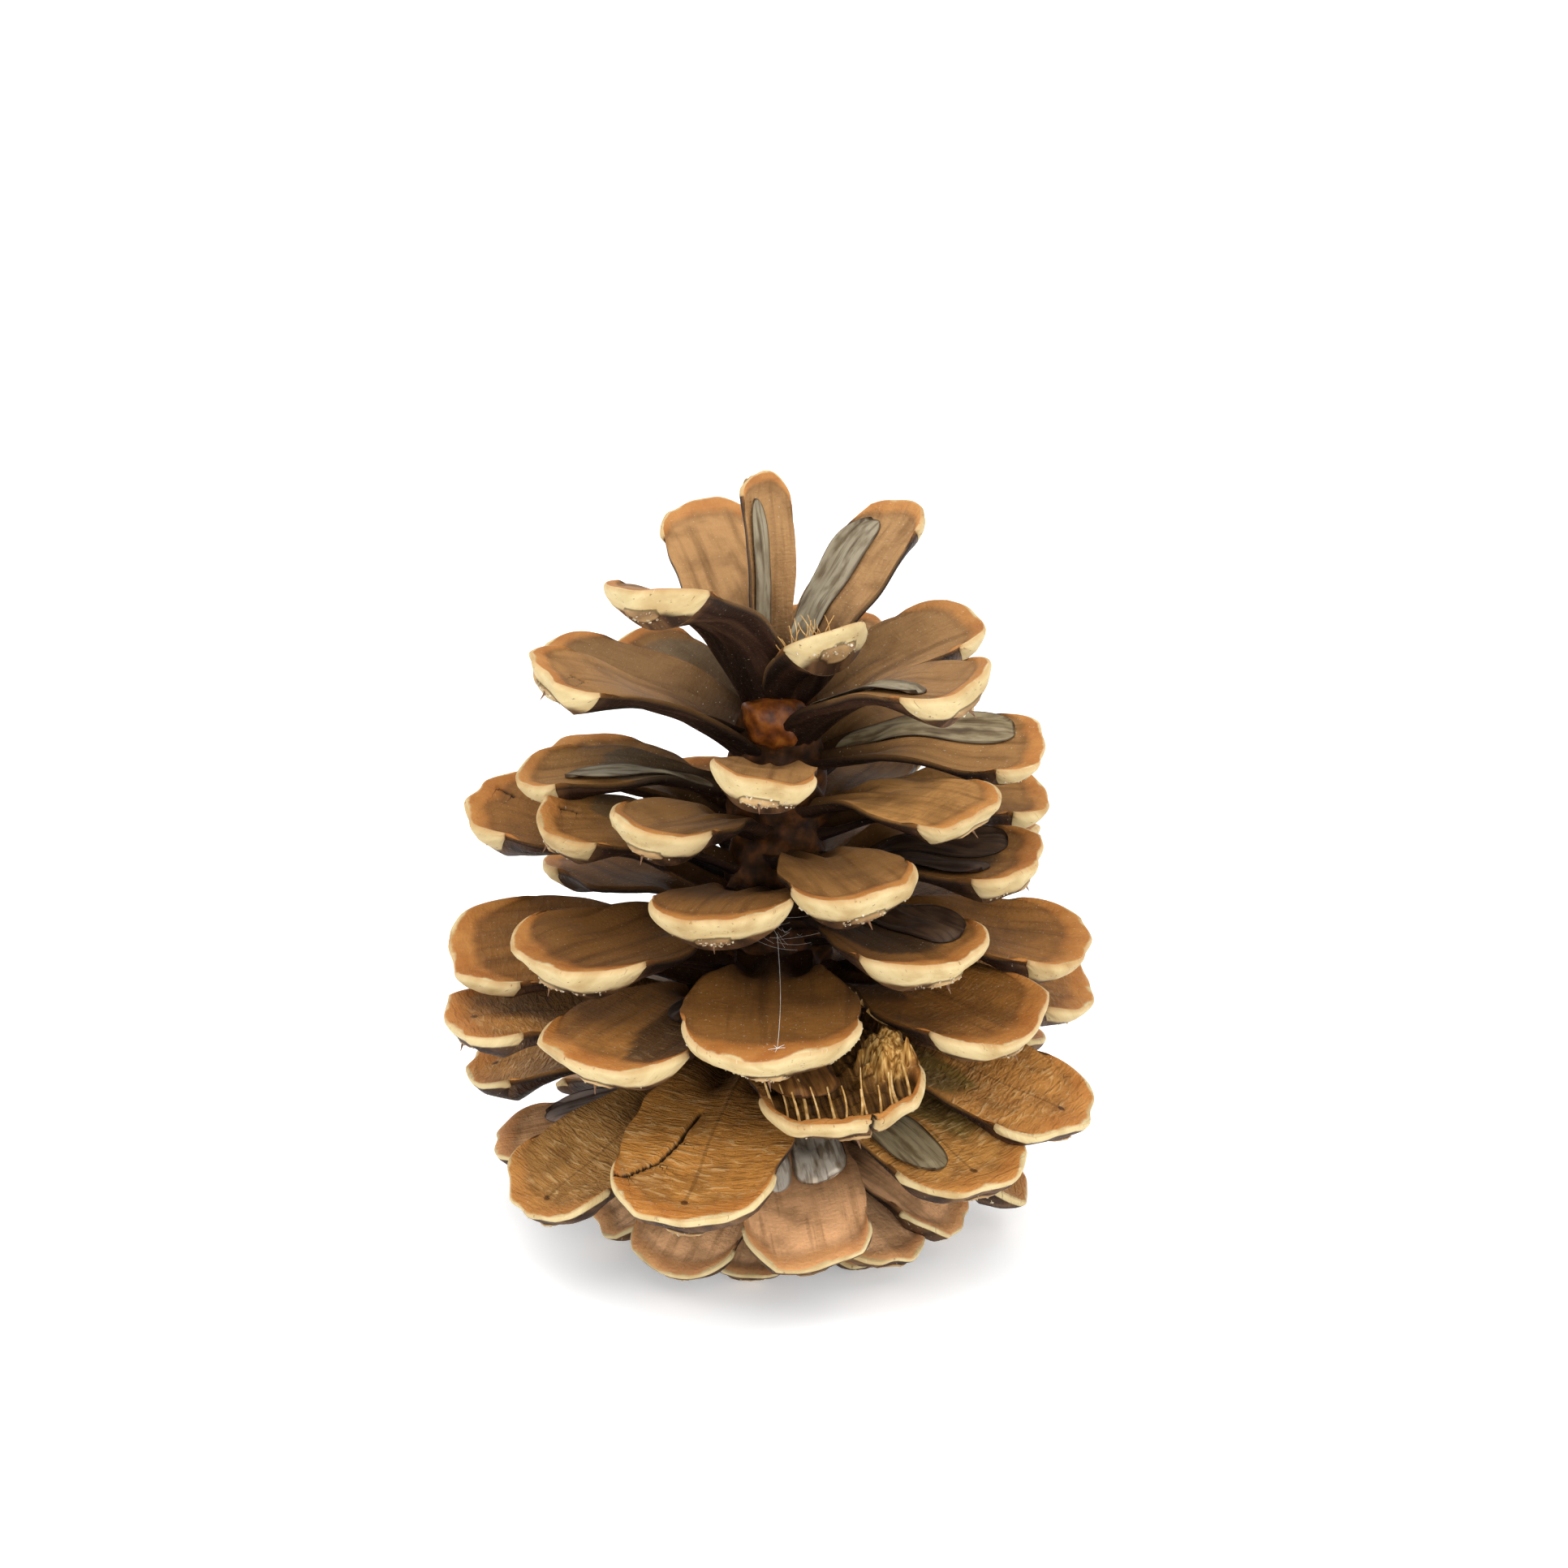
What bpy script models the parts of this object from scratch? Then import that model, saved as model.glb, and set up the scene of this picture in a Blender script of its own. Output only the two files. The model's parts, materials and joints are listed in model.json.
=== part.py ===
# A dry, open pine cone standing on its stem end: a woody axis with scales set round it in one spiral,
# and the winged seeds that still lie on some of the scales. Metres, +Z up.
import math
import random

import bmesh
import bpy
from mathutils import Matrix, Vector

MM = 0.001

# The spiral, counted from the tip of the cone down. A turn of 0 faces -Y, and turns go towards +X.
SCALE_COUNT = 72
FIRST_TURN = math.radians(147.8)
TURN_PER_SCALE = math.radians(137.35)
SETTLING = 1.8 * MM         # how much of the lowest tips is worn flat where the cone stands
CONE_SHIFT = Vector((0.0, 0.28 * MM, -SETTLING))

# Where the scales' roots and tips lie: (scale, size in mm), with straight runs between.
ROOT_REACH = ((0, 0.5), (8, 1.5), (20, 2.6), (72, 3.0))
ROOT_HEIGHT = ((0, 48.0), (6, 45.0), (12, 41.5), (20, 35.3), (33, 27.0), (46, 19.0), (54, 13.0), (62, 9.0),
               (72, 6.0))
TIP_REACH = ((0, 13.5), (2, 17.0), (3, 19.0), (8, 20.9), (14, 20.7), (22, 21.9), (30, 25.4), (38, 27.1),
             (46, 27.2), (52, 23.8), (58, 20.1), (64, 16.3), (72, 12.4))
TIP_HEIGHT = ((0, 65.0), (2, 60.0), (3, 58.5), (8, 50.0), (14, 42.7), (22, 37.6), (30, 30.7), (38, 23.6),
              (46, 15.3), (52, 8.7), (58, 6.1), (64, 4.0), (72, 1.9))
HALF_WIDTH = ((0, 3.7), (2, 3.9), (5, 4.6), (12, 3.9), (20, 4.6), (26, 5.7), (33, 6.6), (46, 6.6), (54, 5.0),
              (62, 4.4), (72, 3.2))
TIP_THICKNESS = ((0, 3.0), (12, 3.4), (33, 4.0), (46, 3.8), (56, 2.8), (72, 2.0))
ARCH = ((0, 5), (3, 8), (6, 15), (12, 15), (33, 14), (46, 14), (54, 17), (62, 18), (72, 13))   # degrees

# A scale's outline and section, as shares of its own sizes.
WAIST = ((0.0, 0.44), (0.3, 0.46), (0.48, 0.62), (0.62, 0.88), (0.8, 1.0), (1.0, 0.95))
BROAD_WAIST = ((0.0, 0.48), (0.2, 0.64), (0.4, 0.84), (0.6, 0.97), (0.8, 1.0), (1.0, 0.94))
BROAD_UNTIL, BROAD_FROM = 12, 43   # the scales at the tip and at the foot have hardly any neck
KEEL = ((0.0, 0.52), (0.5, 0.40), (0.75, 0.54), (0.9, 0.82), (1.0, 1.0))
KEEL_SHARPNESS = 1.3          # how fast the keel thins towards the side edges
TIP_ROUNDING = 0.80         # how far the tip stands past its corners, of the half width
UNDERCUT = 0.62             # how far the lower rim stays behind the upper one, of the tip's thickness
UMBO_DEPTH = 0.60           # the boss's place below the upper rim, of the tip's thickness
UMBO_REACH = 0.7 * MM
SHIELD_BULGE = 0.35 * MM
DISH = 0.45 * MM

# Scales that lean out of the spiral: (turn in degrees, tip height in mm, tip reach in mm).
LEANS = {
    0: (-13, -3.5, 0.5), 1: (-75, 2.3, -12), 2: (-37, -4.5, -7), 3: (0, 1, 0), 4: (-9, 3, 0.5), 5: (0, -2.5, -2),
    6: (5, -4.5, 0), 7: (10, 1.5, 1.5), 9: (-4, 3.5, 0), 10: (-3, -3, 0.5), 11: (0, 1.5, 0.5),
    12: (0, 1.5, 0), 14: (0, -2, 0), 17: (6, 0.5, -1.5), 18: (-2, -1.5, 1), 20: (4, -1, 1),
    22: (0, 1.5, -2), 25: (6, 1, -0.5), 27: (0, 3, 2), 30: (4, 0, -0.5), 31: (-3, -2, 0), 33: (0, -1.5, 0.5),
    36: (-3, 0, -1), 38: (0, 1, 0), 39: (-3, -1.5, 0), 41: (-5, 1, -0.5), 43: (-7, 3.5, 0), 44: (-5, -2, 0),
    46: (0, -1.5, 1), 49: (5, 1.5, 0.5), 51: (-3, 0, 1), 52: (-5, -3, -2.5), 54: (3, 0, 0), 56: (-3, 2, 1.5),
    57: (-3, 0, -1.5), 59: (4, -1, 0), 62: (8, 0.5, 1.5), 64: (0, 0, -0.5), 67: (2, 0, 0),
}
NARROW = {1: 0.6, 2: 0.9}
TWISTS = {4: (24, 4), 7: (6, 12), 10: (0, 12), 15: (0, 5)}   # extra arch and roll in degrees
SWAY_MOST = 0.7 * MM
ROLL_MOST = math.radians(7)
DROOP = math.radians(13)      # the scales at the two sides hang their near edge, as the photo shows
DROOP_RUN = ((0, 0.4), (5, 1.0), (38, 0.8), (50, 0.3), (72, 0.0))
SIZE_SPREAD = 0.05
SEED = 11

# The axis, from its tip down to the scar of the stalk: (radius, height) in mm.
AXIS_PROFILE = ((0.0, 50.8), (1.9, 50.0), (3.1, 47.0), (3.8, 42.0), (4.0, 33.0), (4.3, 20.0), (4.2, 10.0),
                (3.4, 6.0), (2.8, 3.6), (0.0, 3.2))
AXIS_SIDES = 14

# How finely a scale is cut into faces.
RING_STATIONS = (0.0, 0.35, 0.6, 0.82, 1.0)
UPPER_ANGLES = (-90, -58, -28, 0, 28, 58, 90)
LOWER_ANGLES = (50, 0, -50)

# Winged seeds: (scale, side, start, end), the ends as shares of the scale's length. Side 1 is the half
# towards the next turn.
WING_GAP = 0.32 * MM
WING_THICKNESS = 0.62 * MM
WING_STATIONS = 7
WINGS = {
    "seed_wing_tip": (1, 1, 0.25, 0.88),
    "seed_wing_crown": (0, 1, 0.22, 0.84),
    "seed_wing_crown_front": (7, -1, 0.30, 0.78),
    "seed_wing_right_high": (10, 1, 0.25, 0.80),
    "seed_wing_back_left": (11, 1, 0.22, 0.84),
    "seed_wing_left_high": (14, 1, 0.25, 0.72),
    "seed_wing_right_far": (23, 1, 0.25, 0.80),
    "seed_wing_right_near": (23, -1, 0.25, 0.74),
    "seed_wing_front_right": (28, 1, 0.25, 0.82),
    "seed_wing_front_left": (38, 1, 0.22, 0.50),
    "seed_wing_low_right": (49, -1, 0.30, 0.84),
    "seed_wing_low_left": (56, -1, 0.25, 0.78),
    "seed_wing_foot_left": (54, -1, 0.25, 0.62),
    "seed_wing_foot_right": (54, 1, 0.25, 0.62),
    "seed_wing_foot_corner": (62, -1, 0.25, 0.56),
}


def along(points, place):
    """The value at a place on a run of (place, value) points."""
    for (start, low), (end, high) in zip(points, points[1:]):
        if place <= end:
            return low + (high - low) * (place - start) / (end - start)
    return points[-1][1]


class Scale:
    """One scale's place and sizes, and the surfaces that they give."""

    def __init__(self, number):
        draw = random.Random(SEED * 1000 + number)
        turn, lift, reach = LEANS.get(number, (0, 0, 0))
        self.turn = FIRST_TURN + TURN_PER_SCALE * number + math.radians(turn)
        self.root_height = along(ROOT_HEIGHT, number) * MM
        rise = (along(TIP_HEIGHT, number) + lift) * MM - self.root_height
        self.root_reach = along(ROOT_REACH, number) * MM
        run = (along(TIP_REACH, number) + reach) * MM - self.root_reach
        chord = math.hypot(run, rise)
        arch, roll = TWISTS.get(number, (0, 0))
        arch = math.radians(along(ARCH, number) + arch)
        self.first_tilt = math.atan2(rise, run) + arch
        self.length = chord * arch / math.sin(arch)
        self.bend = 2 * arch / self.length
        size = NARROW.get(number, 1.0) * (1 + SIZE_SPREAD * draw.uniform(-1, 1))
        self.half_width = along(HALF_WIDTH, number) * MM * size
        self.thickness = along(TIP_THICKNESS, number) * MM * size
        self.sway = SWAY_MOST * draw.uniform(-1, 1)
        self.roll = ROLL_MOST * draw.uniform(-1, 1)
        self.roll += DROOP * along(DROOP_RUN, number) * math.sin(self.turn) + math.radians(roll)
        self.waist = WAIST if BROAD_UNTIL <= number < BROAD_FROM else BROAD_WAIST
        self.rounding = TIP_ROUNDING * self.half_width
        self.undercut = UNDERCUT * self.thickness

    def place(self, across, out, above):
        """A point from its places across the scale, out along its bent middle line, and above that line."""
        tilt = self.first_tilt - self.bend * out
        reach = (math.sin(self.first_tilt) - math.sin(tilt)) / self.bend
        height = (math.cos(tilt) - math.cos(self.first_tilt)) / self.bend
        share = max(0.0, out / self.length)
        lean = self.roll * share
        side = across * math.cos(lean) - above * math.sin(lean) + self.sway * share * share
        above = across * math.sin(lean) + above * math.cos(lean)
        reach += self.root_reach - above * math.sin(tilt)
        height += self.root_height + above * math.cos(tilt)
        turned = Matrix.Rotation(self.turn, 3, "Z") @ Vector((side, -reach, height))
        return turned + CONE_SHIFT

    def upper(self, share, angle, lifted=0.0):
        """The face towards the cone's tip: share runs from root to rim, angle from edge to edge."""
        half = self.half_width * along(self.waist, share)
        out = share * (self.length - self.rounding * (1 - math.cos(angle)))
        hollow = DISH * math.sin(math.pi * share) * (math.sin(angle) ** 2 - 0.5)
        return self.place(half * math.sin(angle), out, hollow + lifted)

    def lower(self, share, angle):
        """The keeled face towards the stem."""
        half = self.half_width * along(self.waist, share)
        corner = self.length - self.rounding
        out = share * (corner + (self.rounding - self.undercut) * math.cos(angle))
        depth = self.thickness * along(KEEL, share) * max(0.0, math.cos(angle)) ** KEEL_SHARPNESS
        hollow = DISH * math.sin(math.pi * share) * 0.5
        return self.place(half * math.sin(angle), out, hollow - depth)

    def umbo(self):
        """The boss in the middle of the outer shield."""
        return self.place(0.0, self.length + UMBO_REACH, -UMBO_DEPTH * self.thickness)


def closed_loft(name, rings, end_point=None):
    """A mesh through rings of equal count, capped at the start, and closed on a point or a cap at the end."""
    shape = bmesh.new()
    loops = [[shape.verts.new(point) for point in ring] for ring in rings]
    count = len(rings[0])
    for inner, outer in zip(loops, loops[1:]):
        for k in range(count):
            following = (k + 1) % count
            shape.faces.new((inner[k], inner[following], outer[following], outer[k]))
    shape.faces.new(loops[0])
    if end_point is None:
        shape.faces.new(loops[-1])
    else:
        peak = shape.verts.new(end_point)
        for k in range(count):
            shape.faces.new((loops[-1][k], loops[-1][(k + 1) % count], peak))
    bmesh.ops.recalc_face_normals(shape, faces=shape.faces)
    mesh = bpy.data.meshes.new(name)
    shape.to_mesh(mesh)
    shape.free()
    return mesh


def scale_mesh(number):
    """A scale: its rings from root to rim, then the shield that rises to the boss."""
    scale = Scale(number)
    upper = [math.radians(a) for a in UPPER_ANGLES]
    lower = [math.radians(a) for a in LOWER_ANGLES]
    rings = []
    for share in RING_STATIONS:
        rings.append([scale.upper(share, a) for a in upper] + [scale.lower(share, a) for a in lower])
    boss = scale.umbo()
    outward = (scale.place(0.0, scale.length + MM, 0.0) - scale.place(0.0, scale.length, 0.0)) / MM
    shield = [point.lerp(boss, 0.5) + outward * SHIELD_BULGE for point in rings[-1]]
    rings.append(shield)
    return closed_loft(f"scale_{number:02d}", rings, end_point=boss)


def wing_mesh(name, number, side, start, end):
    """A seed's papery wing lying on one half of a scale, thin and rounded at its end."""
    scale = Scale(number)
    rings = []
    for k in range(WING_STATIONS):
        share = k / (WING_STATIONS - 1)
        swell = math.sqrt(max(0.0, 1 - (2 * share - 1) ** 4))
        inner, outer = 40 - 35 * swell, 42 + 22 * swell
        place = start + (end - start) * share
        low, high = (math.radians(side * angle) for angle in (inner, outer))
        top = WING_GAP + WING_THICKNESS
        rings.append([scale.upper(place, low, WING_GAP), scale.upper(place, high, WING_GAP),
                      scale.upper(place, high, top), scale.upper(place, low, top)])
    return closed_loft(name, rings)


def finish(name, colour, roughness):
    """A matt woody or papery material."""
    material = bpy.data.materials.new(name)
    material.use_nodes = True
    shader = material.node_tree.nodes["Principled BSDF"]
    shader.inputs["Base Color"].default_value = (*colour, 1.0)
    shader.inputs["Roughness"].default_value = roughness
    shader.inputs["Metallic"].default_value = 0.0
    return material


def axis_object(collection):
    """The woody axis, turned from its profile, as a plain mesh."""
    outline = bpy.data.meshes.new("axis_outline")
    points = [(radius * MM, 0.0, height * MM) for radius, height in AXIS_PROFILE]
    outline.from_pydata(points, [(k, k + 1) for k in range(len(points) - 1)], [])
    turned = bpy.data.objects.new("axis_outline", outline)
    collection.objects.link(turned)
    screw = turned.modifiers.new("turning", "SCREW")
    screw.steps = screw.render_steps = AXIS_SIDES
    screw.use_merge_vertices = True
    screw.merge_threshold = 0.00001
    screw.use_smooth_shade = False
    graph = bpy.context.evaluated_depsgraph_get()
    mesh = bpy.data.meshes.new_from_object(turned.evaluated_get(graph))
    mesh.transform(Matrix.Translation(CONE_SHIFT))
    bpy.data.objects.remove(turned)
    axis = bpy.data.objects.new("cone", mesh)
    collection.objects.link(axis)
    return axis


def join_scales(cone, scene):
    """Grows the scales out of the axis: one Boolean union, applied."""
    whorl = bpy.data.collections.new("scales")
    scene.collection.children.link(whorl)
    for number in range(SCALE_COUNT):
        mesh = scale_mesh(number)
        whorl.objects.link(bpy.data.objects.new(mesh.name, mesh))
    union = cone.modifiers.new("scales", "BOOLEAN")
    union.operation = "UNION"
    union.operand_type = "COLLECTION"
    union.collection = whorl
    union.solver = "MANIFOLD"
    graph = bpy.context.evaluated_depsgraph_get()
    joined = bpy.data.meshes.new_from_object(cone.evaluated_get(graph))
    cone.modifiers.clear()
    cone.data = joined
    for scale in list(whorl.objects):
        bpy.data.objects.remove(scale)
    bpy.data.collections.remove(whorl)


def rest_plane(cone, scene):
    """Levels the lowest tips at the ground, z = 0."""
    cutters = bpy.data.collections.new("cutters")
    scene.collection.children.link(cutters)
    side, depth = 80 * MM, 10 * MM
    bpy.ops.mesh.primitive_cube_add(size=1.0, location=(0, 0, -depth / 2))
    cutter = bpy.context.object
    cutter.name = "ground_cutter"
    cutter.scale = (side, side, depth)
    for owner in list(cutter.users_collection):
        owner.objects.unlink(cutter)
    cutters.objects.link(cutter)
    cutter.hide_render = True
    cutter.display_type = "WIRE"
    cut = cone.modifiers.new("ground", "BOOLEAN")
    cut.operation = "DIFFERENCE"
    cut.object = cutter
    cut.solver = "MANIFOLD"


def main():
    for old in list(bpy.data.objects):
        bpy.data.objects.remove(old)
    scene = bpy.context.scene
    whole = bpy.data.collections.new("pine_cone")
    scene.collection.children.link(whole)
    wood = finish("cone_wood", (0.43, 0.24, 0.09), 0.6)
    paper = finish("seed_wing_paper", (0.27, 0.22, 0.16), 0.75)
    cone = axis_object(whole)
    join_scales(cone, scene)
    cone.data.materials.clear()
    cone.data.materials.append(wood)
    rest_plane(cone, scene)
    for name, (number, side, start, end) in WINGS.items():
        mesh = wing_mesh(name, number, side, start, end)
        mesh.materials.append(paper)
        whole.objects.link(bpy.data.objects.new(name, mesh))


main()
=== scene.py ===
# A dry, open pine cone in Blender: fine scales, seed wings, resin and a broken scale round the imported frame.
import json
import math
import random

import bpy
import numpy as np
from mathutils import Matrix, Vector

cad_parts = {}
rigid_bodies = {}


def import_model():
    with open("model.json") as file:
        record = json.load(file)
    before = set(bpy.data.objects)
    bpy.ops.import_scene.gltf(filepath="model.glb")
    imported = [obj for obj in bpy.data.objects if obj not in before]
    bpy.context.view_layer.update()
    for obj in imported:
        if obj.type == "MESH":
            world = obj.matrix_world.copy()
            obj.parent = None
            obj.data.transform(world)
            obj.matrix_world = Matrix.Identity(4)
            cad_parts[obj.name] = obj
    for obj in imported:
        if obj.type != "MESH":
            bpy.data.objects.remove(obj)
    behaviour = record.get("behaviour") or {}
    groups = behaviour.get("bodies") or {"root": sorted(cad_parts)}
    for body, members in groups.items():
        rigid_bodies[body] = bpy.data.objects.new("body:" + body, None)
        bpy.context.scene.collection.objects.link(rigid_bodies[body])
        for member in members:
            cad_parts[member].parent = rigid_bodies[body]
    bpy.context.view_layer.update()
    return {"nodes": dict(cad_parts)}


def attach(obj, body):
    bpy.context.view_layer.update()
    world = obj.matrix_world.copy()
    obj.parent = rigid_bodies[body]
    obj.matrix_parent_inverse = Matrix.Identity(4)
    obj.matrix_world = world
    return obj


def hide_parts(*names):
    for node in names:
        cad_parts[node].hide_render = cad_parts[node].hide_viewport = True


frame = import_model()
mm = 0.001
scene = bpy.context.scene
print("frame loaded:", len(frame["nodes"]), "nodes")

# The spiral that sets the scales round the axis, counted from the tip down. Sizes in mm, turns in degrees.
spiral = {
    "count": 72, "firstTurn": 147.8, "turnPerScale": 137.35, "shiftY": 0.28, "settling": 1.8,
    "rootReach": ((0, 0.5), (8, 1.5), (20, 2.6), (72, 3.0)),
    "rootHeight": ((0, 48.0), (6, 45.0), (12, 41.5), (20, 35.3), (33, 27.0), (46, 19.0), (54, 13.0),
                   (62, 9.0), (72, 6.0)),
    "tipReach": ((0, 13.5), (2, 17.0), (3, 19.0), (8, 20.9), (14, 20.7), (22, 21.9), (30, 25.4), (38, 27.1),
                 (46, 27.2), (52, 23.8), (58, 20.1), (64, 16.3), (72, 12.4)),
    "tipHeight": ((0, 65.0), (2, 60.0), (3, 58.5), (8, 50.0), (14, 42.7), (22, 37.6), (30, 30.7), (38, 23.6),
                  (46, 15.3), (52, 8.7), (58, 6.1), (64, 4.0), (72, 1.9)),
    "halfWidth": ((0, 3.7), (2, 3.9), (5, 4.6), (12, 3.9), (20, 4.6), (26, 5.7), (33, 6.6), (46, 6.6),
                  (54, 5.0), (62, 4.4), (72, 3.2)),
    "thickness": ((0, 3.0), (12, 3.4), (33, 4.0), (46, 3.8), (56, 2.8), (72, 2.0)),
    "arch": ((0, 5), (3, 8), (6, 15), (12, 15), (33, 14), (46, 14), (54, 17), (62, 18), (72, 13)),
    "droop": 13.0, "droopRun": ((0, 0.4), (5, 1.0), (38, 0.8), (50, 0.3), (72, 0.0)),
    "seed": 11, "swayMost": 0.7, "rollMost": 7.0, "sizeSpread": 0.05,
}
# Scales that lean out of the spiral: turn in degrees, then the tip's height and reach in mm.
leans = {
    0: (-13, -3.5, 0.5), 1: (-75, 2.3, -12), 2: (-37, -4.5, -7), 3: (0, 1, 0), 4: (-9, 3, 0.5),
    5: (0, -2.5, -2), 6: (5, -4.5, 0), 7: (10, 1.5, 1.5), 9: (-4, 3.5, 0), 10: (-3, -3, 0.5),
    11: (0, 1.5, 0.5), 12: (0, 1.5, 0), 14: (0, -2, 0), 17: (6, 0.5, -1.5), 18: (-2, -1.5, 1),
    20: (4, -1, 1), 22: (0, 1.5, -2), 25: (6, 1, -0.5), 27: (0, 3, 2), 30: (4, 0, -0.5), 31: (-3, -2, 0),
    33: (0, -1.5, 0.5), 36: (-3, 0, -1), 38: (0, 1, 0), 39: (-3, -1.5, 0), 41: (-5, 1, -0.5),
    43: (-7, 3.5, 0), 44: (-5, -2, 0), 46: (0, -1.5, 1), 49: (5, 1.5, 0.5), 51: (-3, 0, 1),
    52: (-5, -3, -2.5), 54: (3, 0, 0), 56: (-3, 2, 1.5), 57: (-3, 0, -1.5), 59: (4, -1, 0),
    62: (8, 0.5, 1.5), 64: (0, 0, -0.5), 67: (2, 0, 0),
}
narrow = {1: 0.6, 2: 0.9}
twists = {4: (24, 4), 7: (6, 12), 10: (0, 12), 15: (0, 5)}   # extra arch and roll in degrees


def linear(hexColour):                      # an sRGB hex value as linear RGBA
    parts = [int(hexColour[k:k + 2], 16) / 255 for k in (1, 3, 5)]
    return (*[p / 12.92 if p <= 0.04045 else ((p + 0.055) / 1.055) ** 2.4 for p in parts], 1.0)


def addNode(tree, kind, links=None, stops=None, **settings):
    node = tree.nodes.new(kind)
    for name, value in settings.items():
        setattr(node, name, value)
    if stops:                               # a colour ramp's places and colours
        ramp = node.color_ramp
        ramp.elements.remove(ramp.elements[1])
        for k, (place, colour) in enumerate(stops):
            stop = ramp.elements[0] if k == 0 else ramp.elements.new(place)
            stop.position = place
            stop.color = linear(colour)
    for socket, value in (links or {}).items():
        if isinstance(value, str) and value.startswith("#"):
            value = linear(value)
        if isinstance(value, bpy.types.Node):
            value = next(output for output in value.outputs if output.enabled)
        if isinstance(value, bpy.types.NodeSocket):
            tree.links.new(value, node.inputs[socket])
        else:
            node.inputs[socket].default_value = value
    return node


def smooth(low, high, value):               # 0 below low, 1 above high, smooth between
    share = np.clip((value - low) / (high - low), 0, 1)
    return share * share * (3 - 2 * share)


def run(points, places, blur=0.0):          # straight runs between points, rounded over a little
    xs, ys = zip(*points)
    offsets = np.linspace(-blur, blur, 9 if blur else 1)
    return np.mean([np.interp(places + d, xs, ys) for d in offsets], axis=0)


waveLengths = (0.7, 1.9)                    # the shortest and longest wave, in shares of the length given


class Waves:                                # smooth, seeded unevenness: a sum of slow waves
    def __init__(self, seed, length, count=7):
        draw = random.Random(seed)
        self.terms = []
        for _ in range(count):
            turn = draw.uniform(0, math.tau)
            pitch = math.tau / (length * draw.uniform(*waveLengths))
            self.terms.append((pitch * math.cos(turn), pitch * math.sin(turn), draw.uniform(0, math.tau)))

    def __call__(self, x, y):
        return sum(np.sin(a * x + b * y + c) for a, b, c in self.terms) / math.sqrt(len(self.terms))


# The shape that all scales share: sizes in mm, or in shares of a scale's own sizes, corners in degrees.
scaleForm = {
    "rounding": 0.80, "undercut": 0.98, "edge": 0.28, "sharpness": 1.45, "dish": 0.55,
    "borderStart": 0.3, "borderWidth": 1.9, "borderRise": 0.34, "borderRun": (0, 0.6),
    "rib": 0.22, "ribWidth": 0.35, "ribEnd": (0.35, 0.7), "seedPit": 1.1, "pitAside": 0.30, "pitWidth": 0.20,
    "pitStart": (0.02, 0.14), "pitEnd": (0.26, 0.44), "fullPit": 6,
    "noseBulge": 0.26, "noseHigh": 0.75, "noseBlunt": 0.8, "keelRise": 0.15, "keelWidth": 0.2,
    "capGrooves": 0.05, "groovesEnd": (0.8, 1), "umboEdge": (0.55, 1.25),
    "umboRise": 0.45, "umboPlace": 0.62, "umboWidth": 1.35, "umboHeight": 0.5, "umboLumps": 0.12,
    "warp": 0.26, "warpRun": (0.1, 0.6), "warpLength": 9.0, "rimWaves": 0.2, "rimWaveLength": 3.4,
    "grooves": 0.10, "grooveLength": 1.1, "sideWaves": 0.025, "sideWaveLength": 4.5, "sidesApart": 9,
    "skewMost": 0.35, "cornerMost": 0.65, "cornerWidth": 0.22, "corners": (22, 62),
    "stations": 44, "columns": 37, "capRows": 15,
}
waists = {
    "necked": ((0.0, 0.44), (0.34, 0.46), (0.50, 0.60), (0.64, 0.88), (0.78, 1.0), (1.0, 0.94)),
    "broad": ((0.0, 0.48), (0.2, 0.64), (0.4, 0.84), (0.6, 0.97), (0.8, 1.0), (1.0, 0.93)),
}
neckedScales = range(12, 43)
keel = ((0.0, 0.48), (0.5, 0.34), (0.76, 0.50), (0.9, 0.80), (1.0, 1.0))


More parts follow.
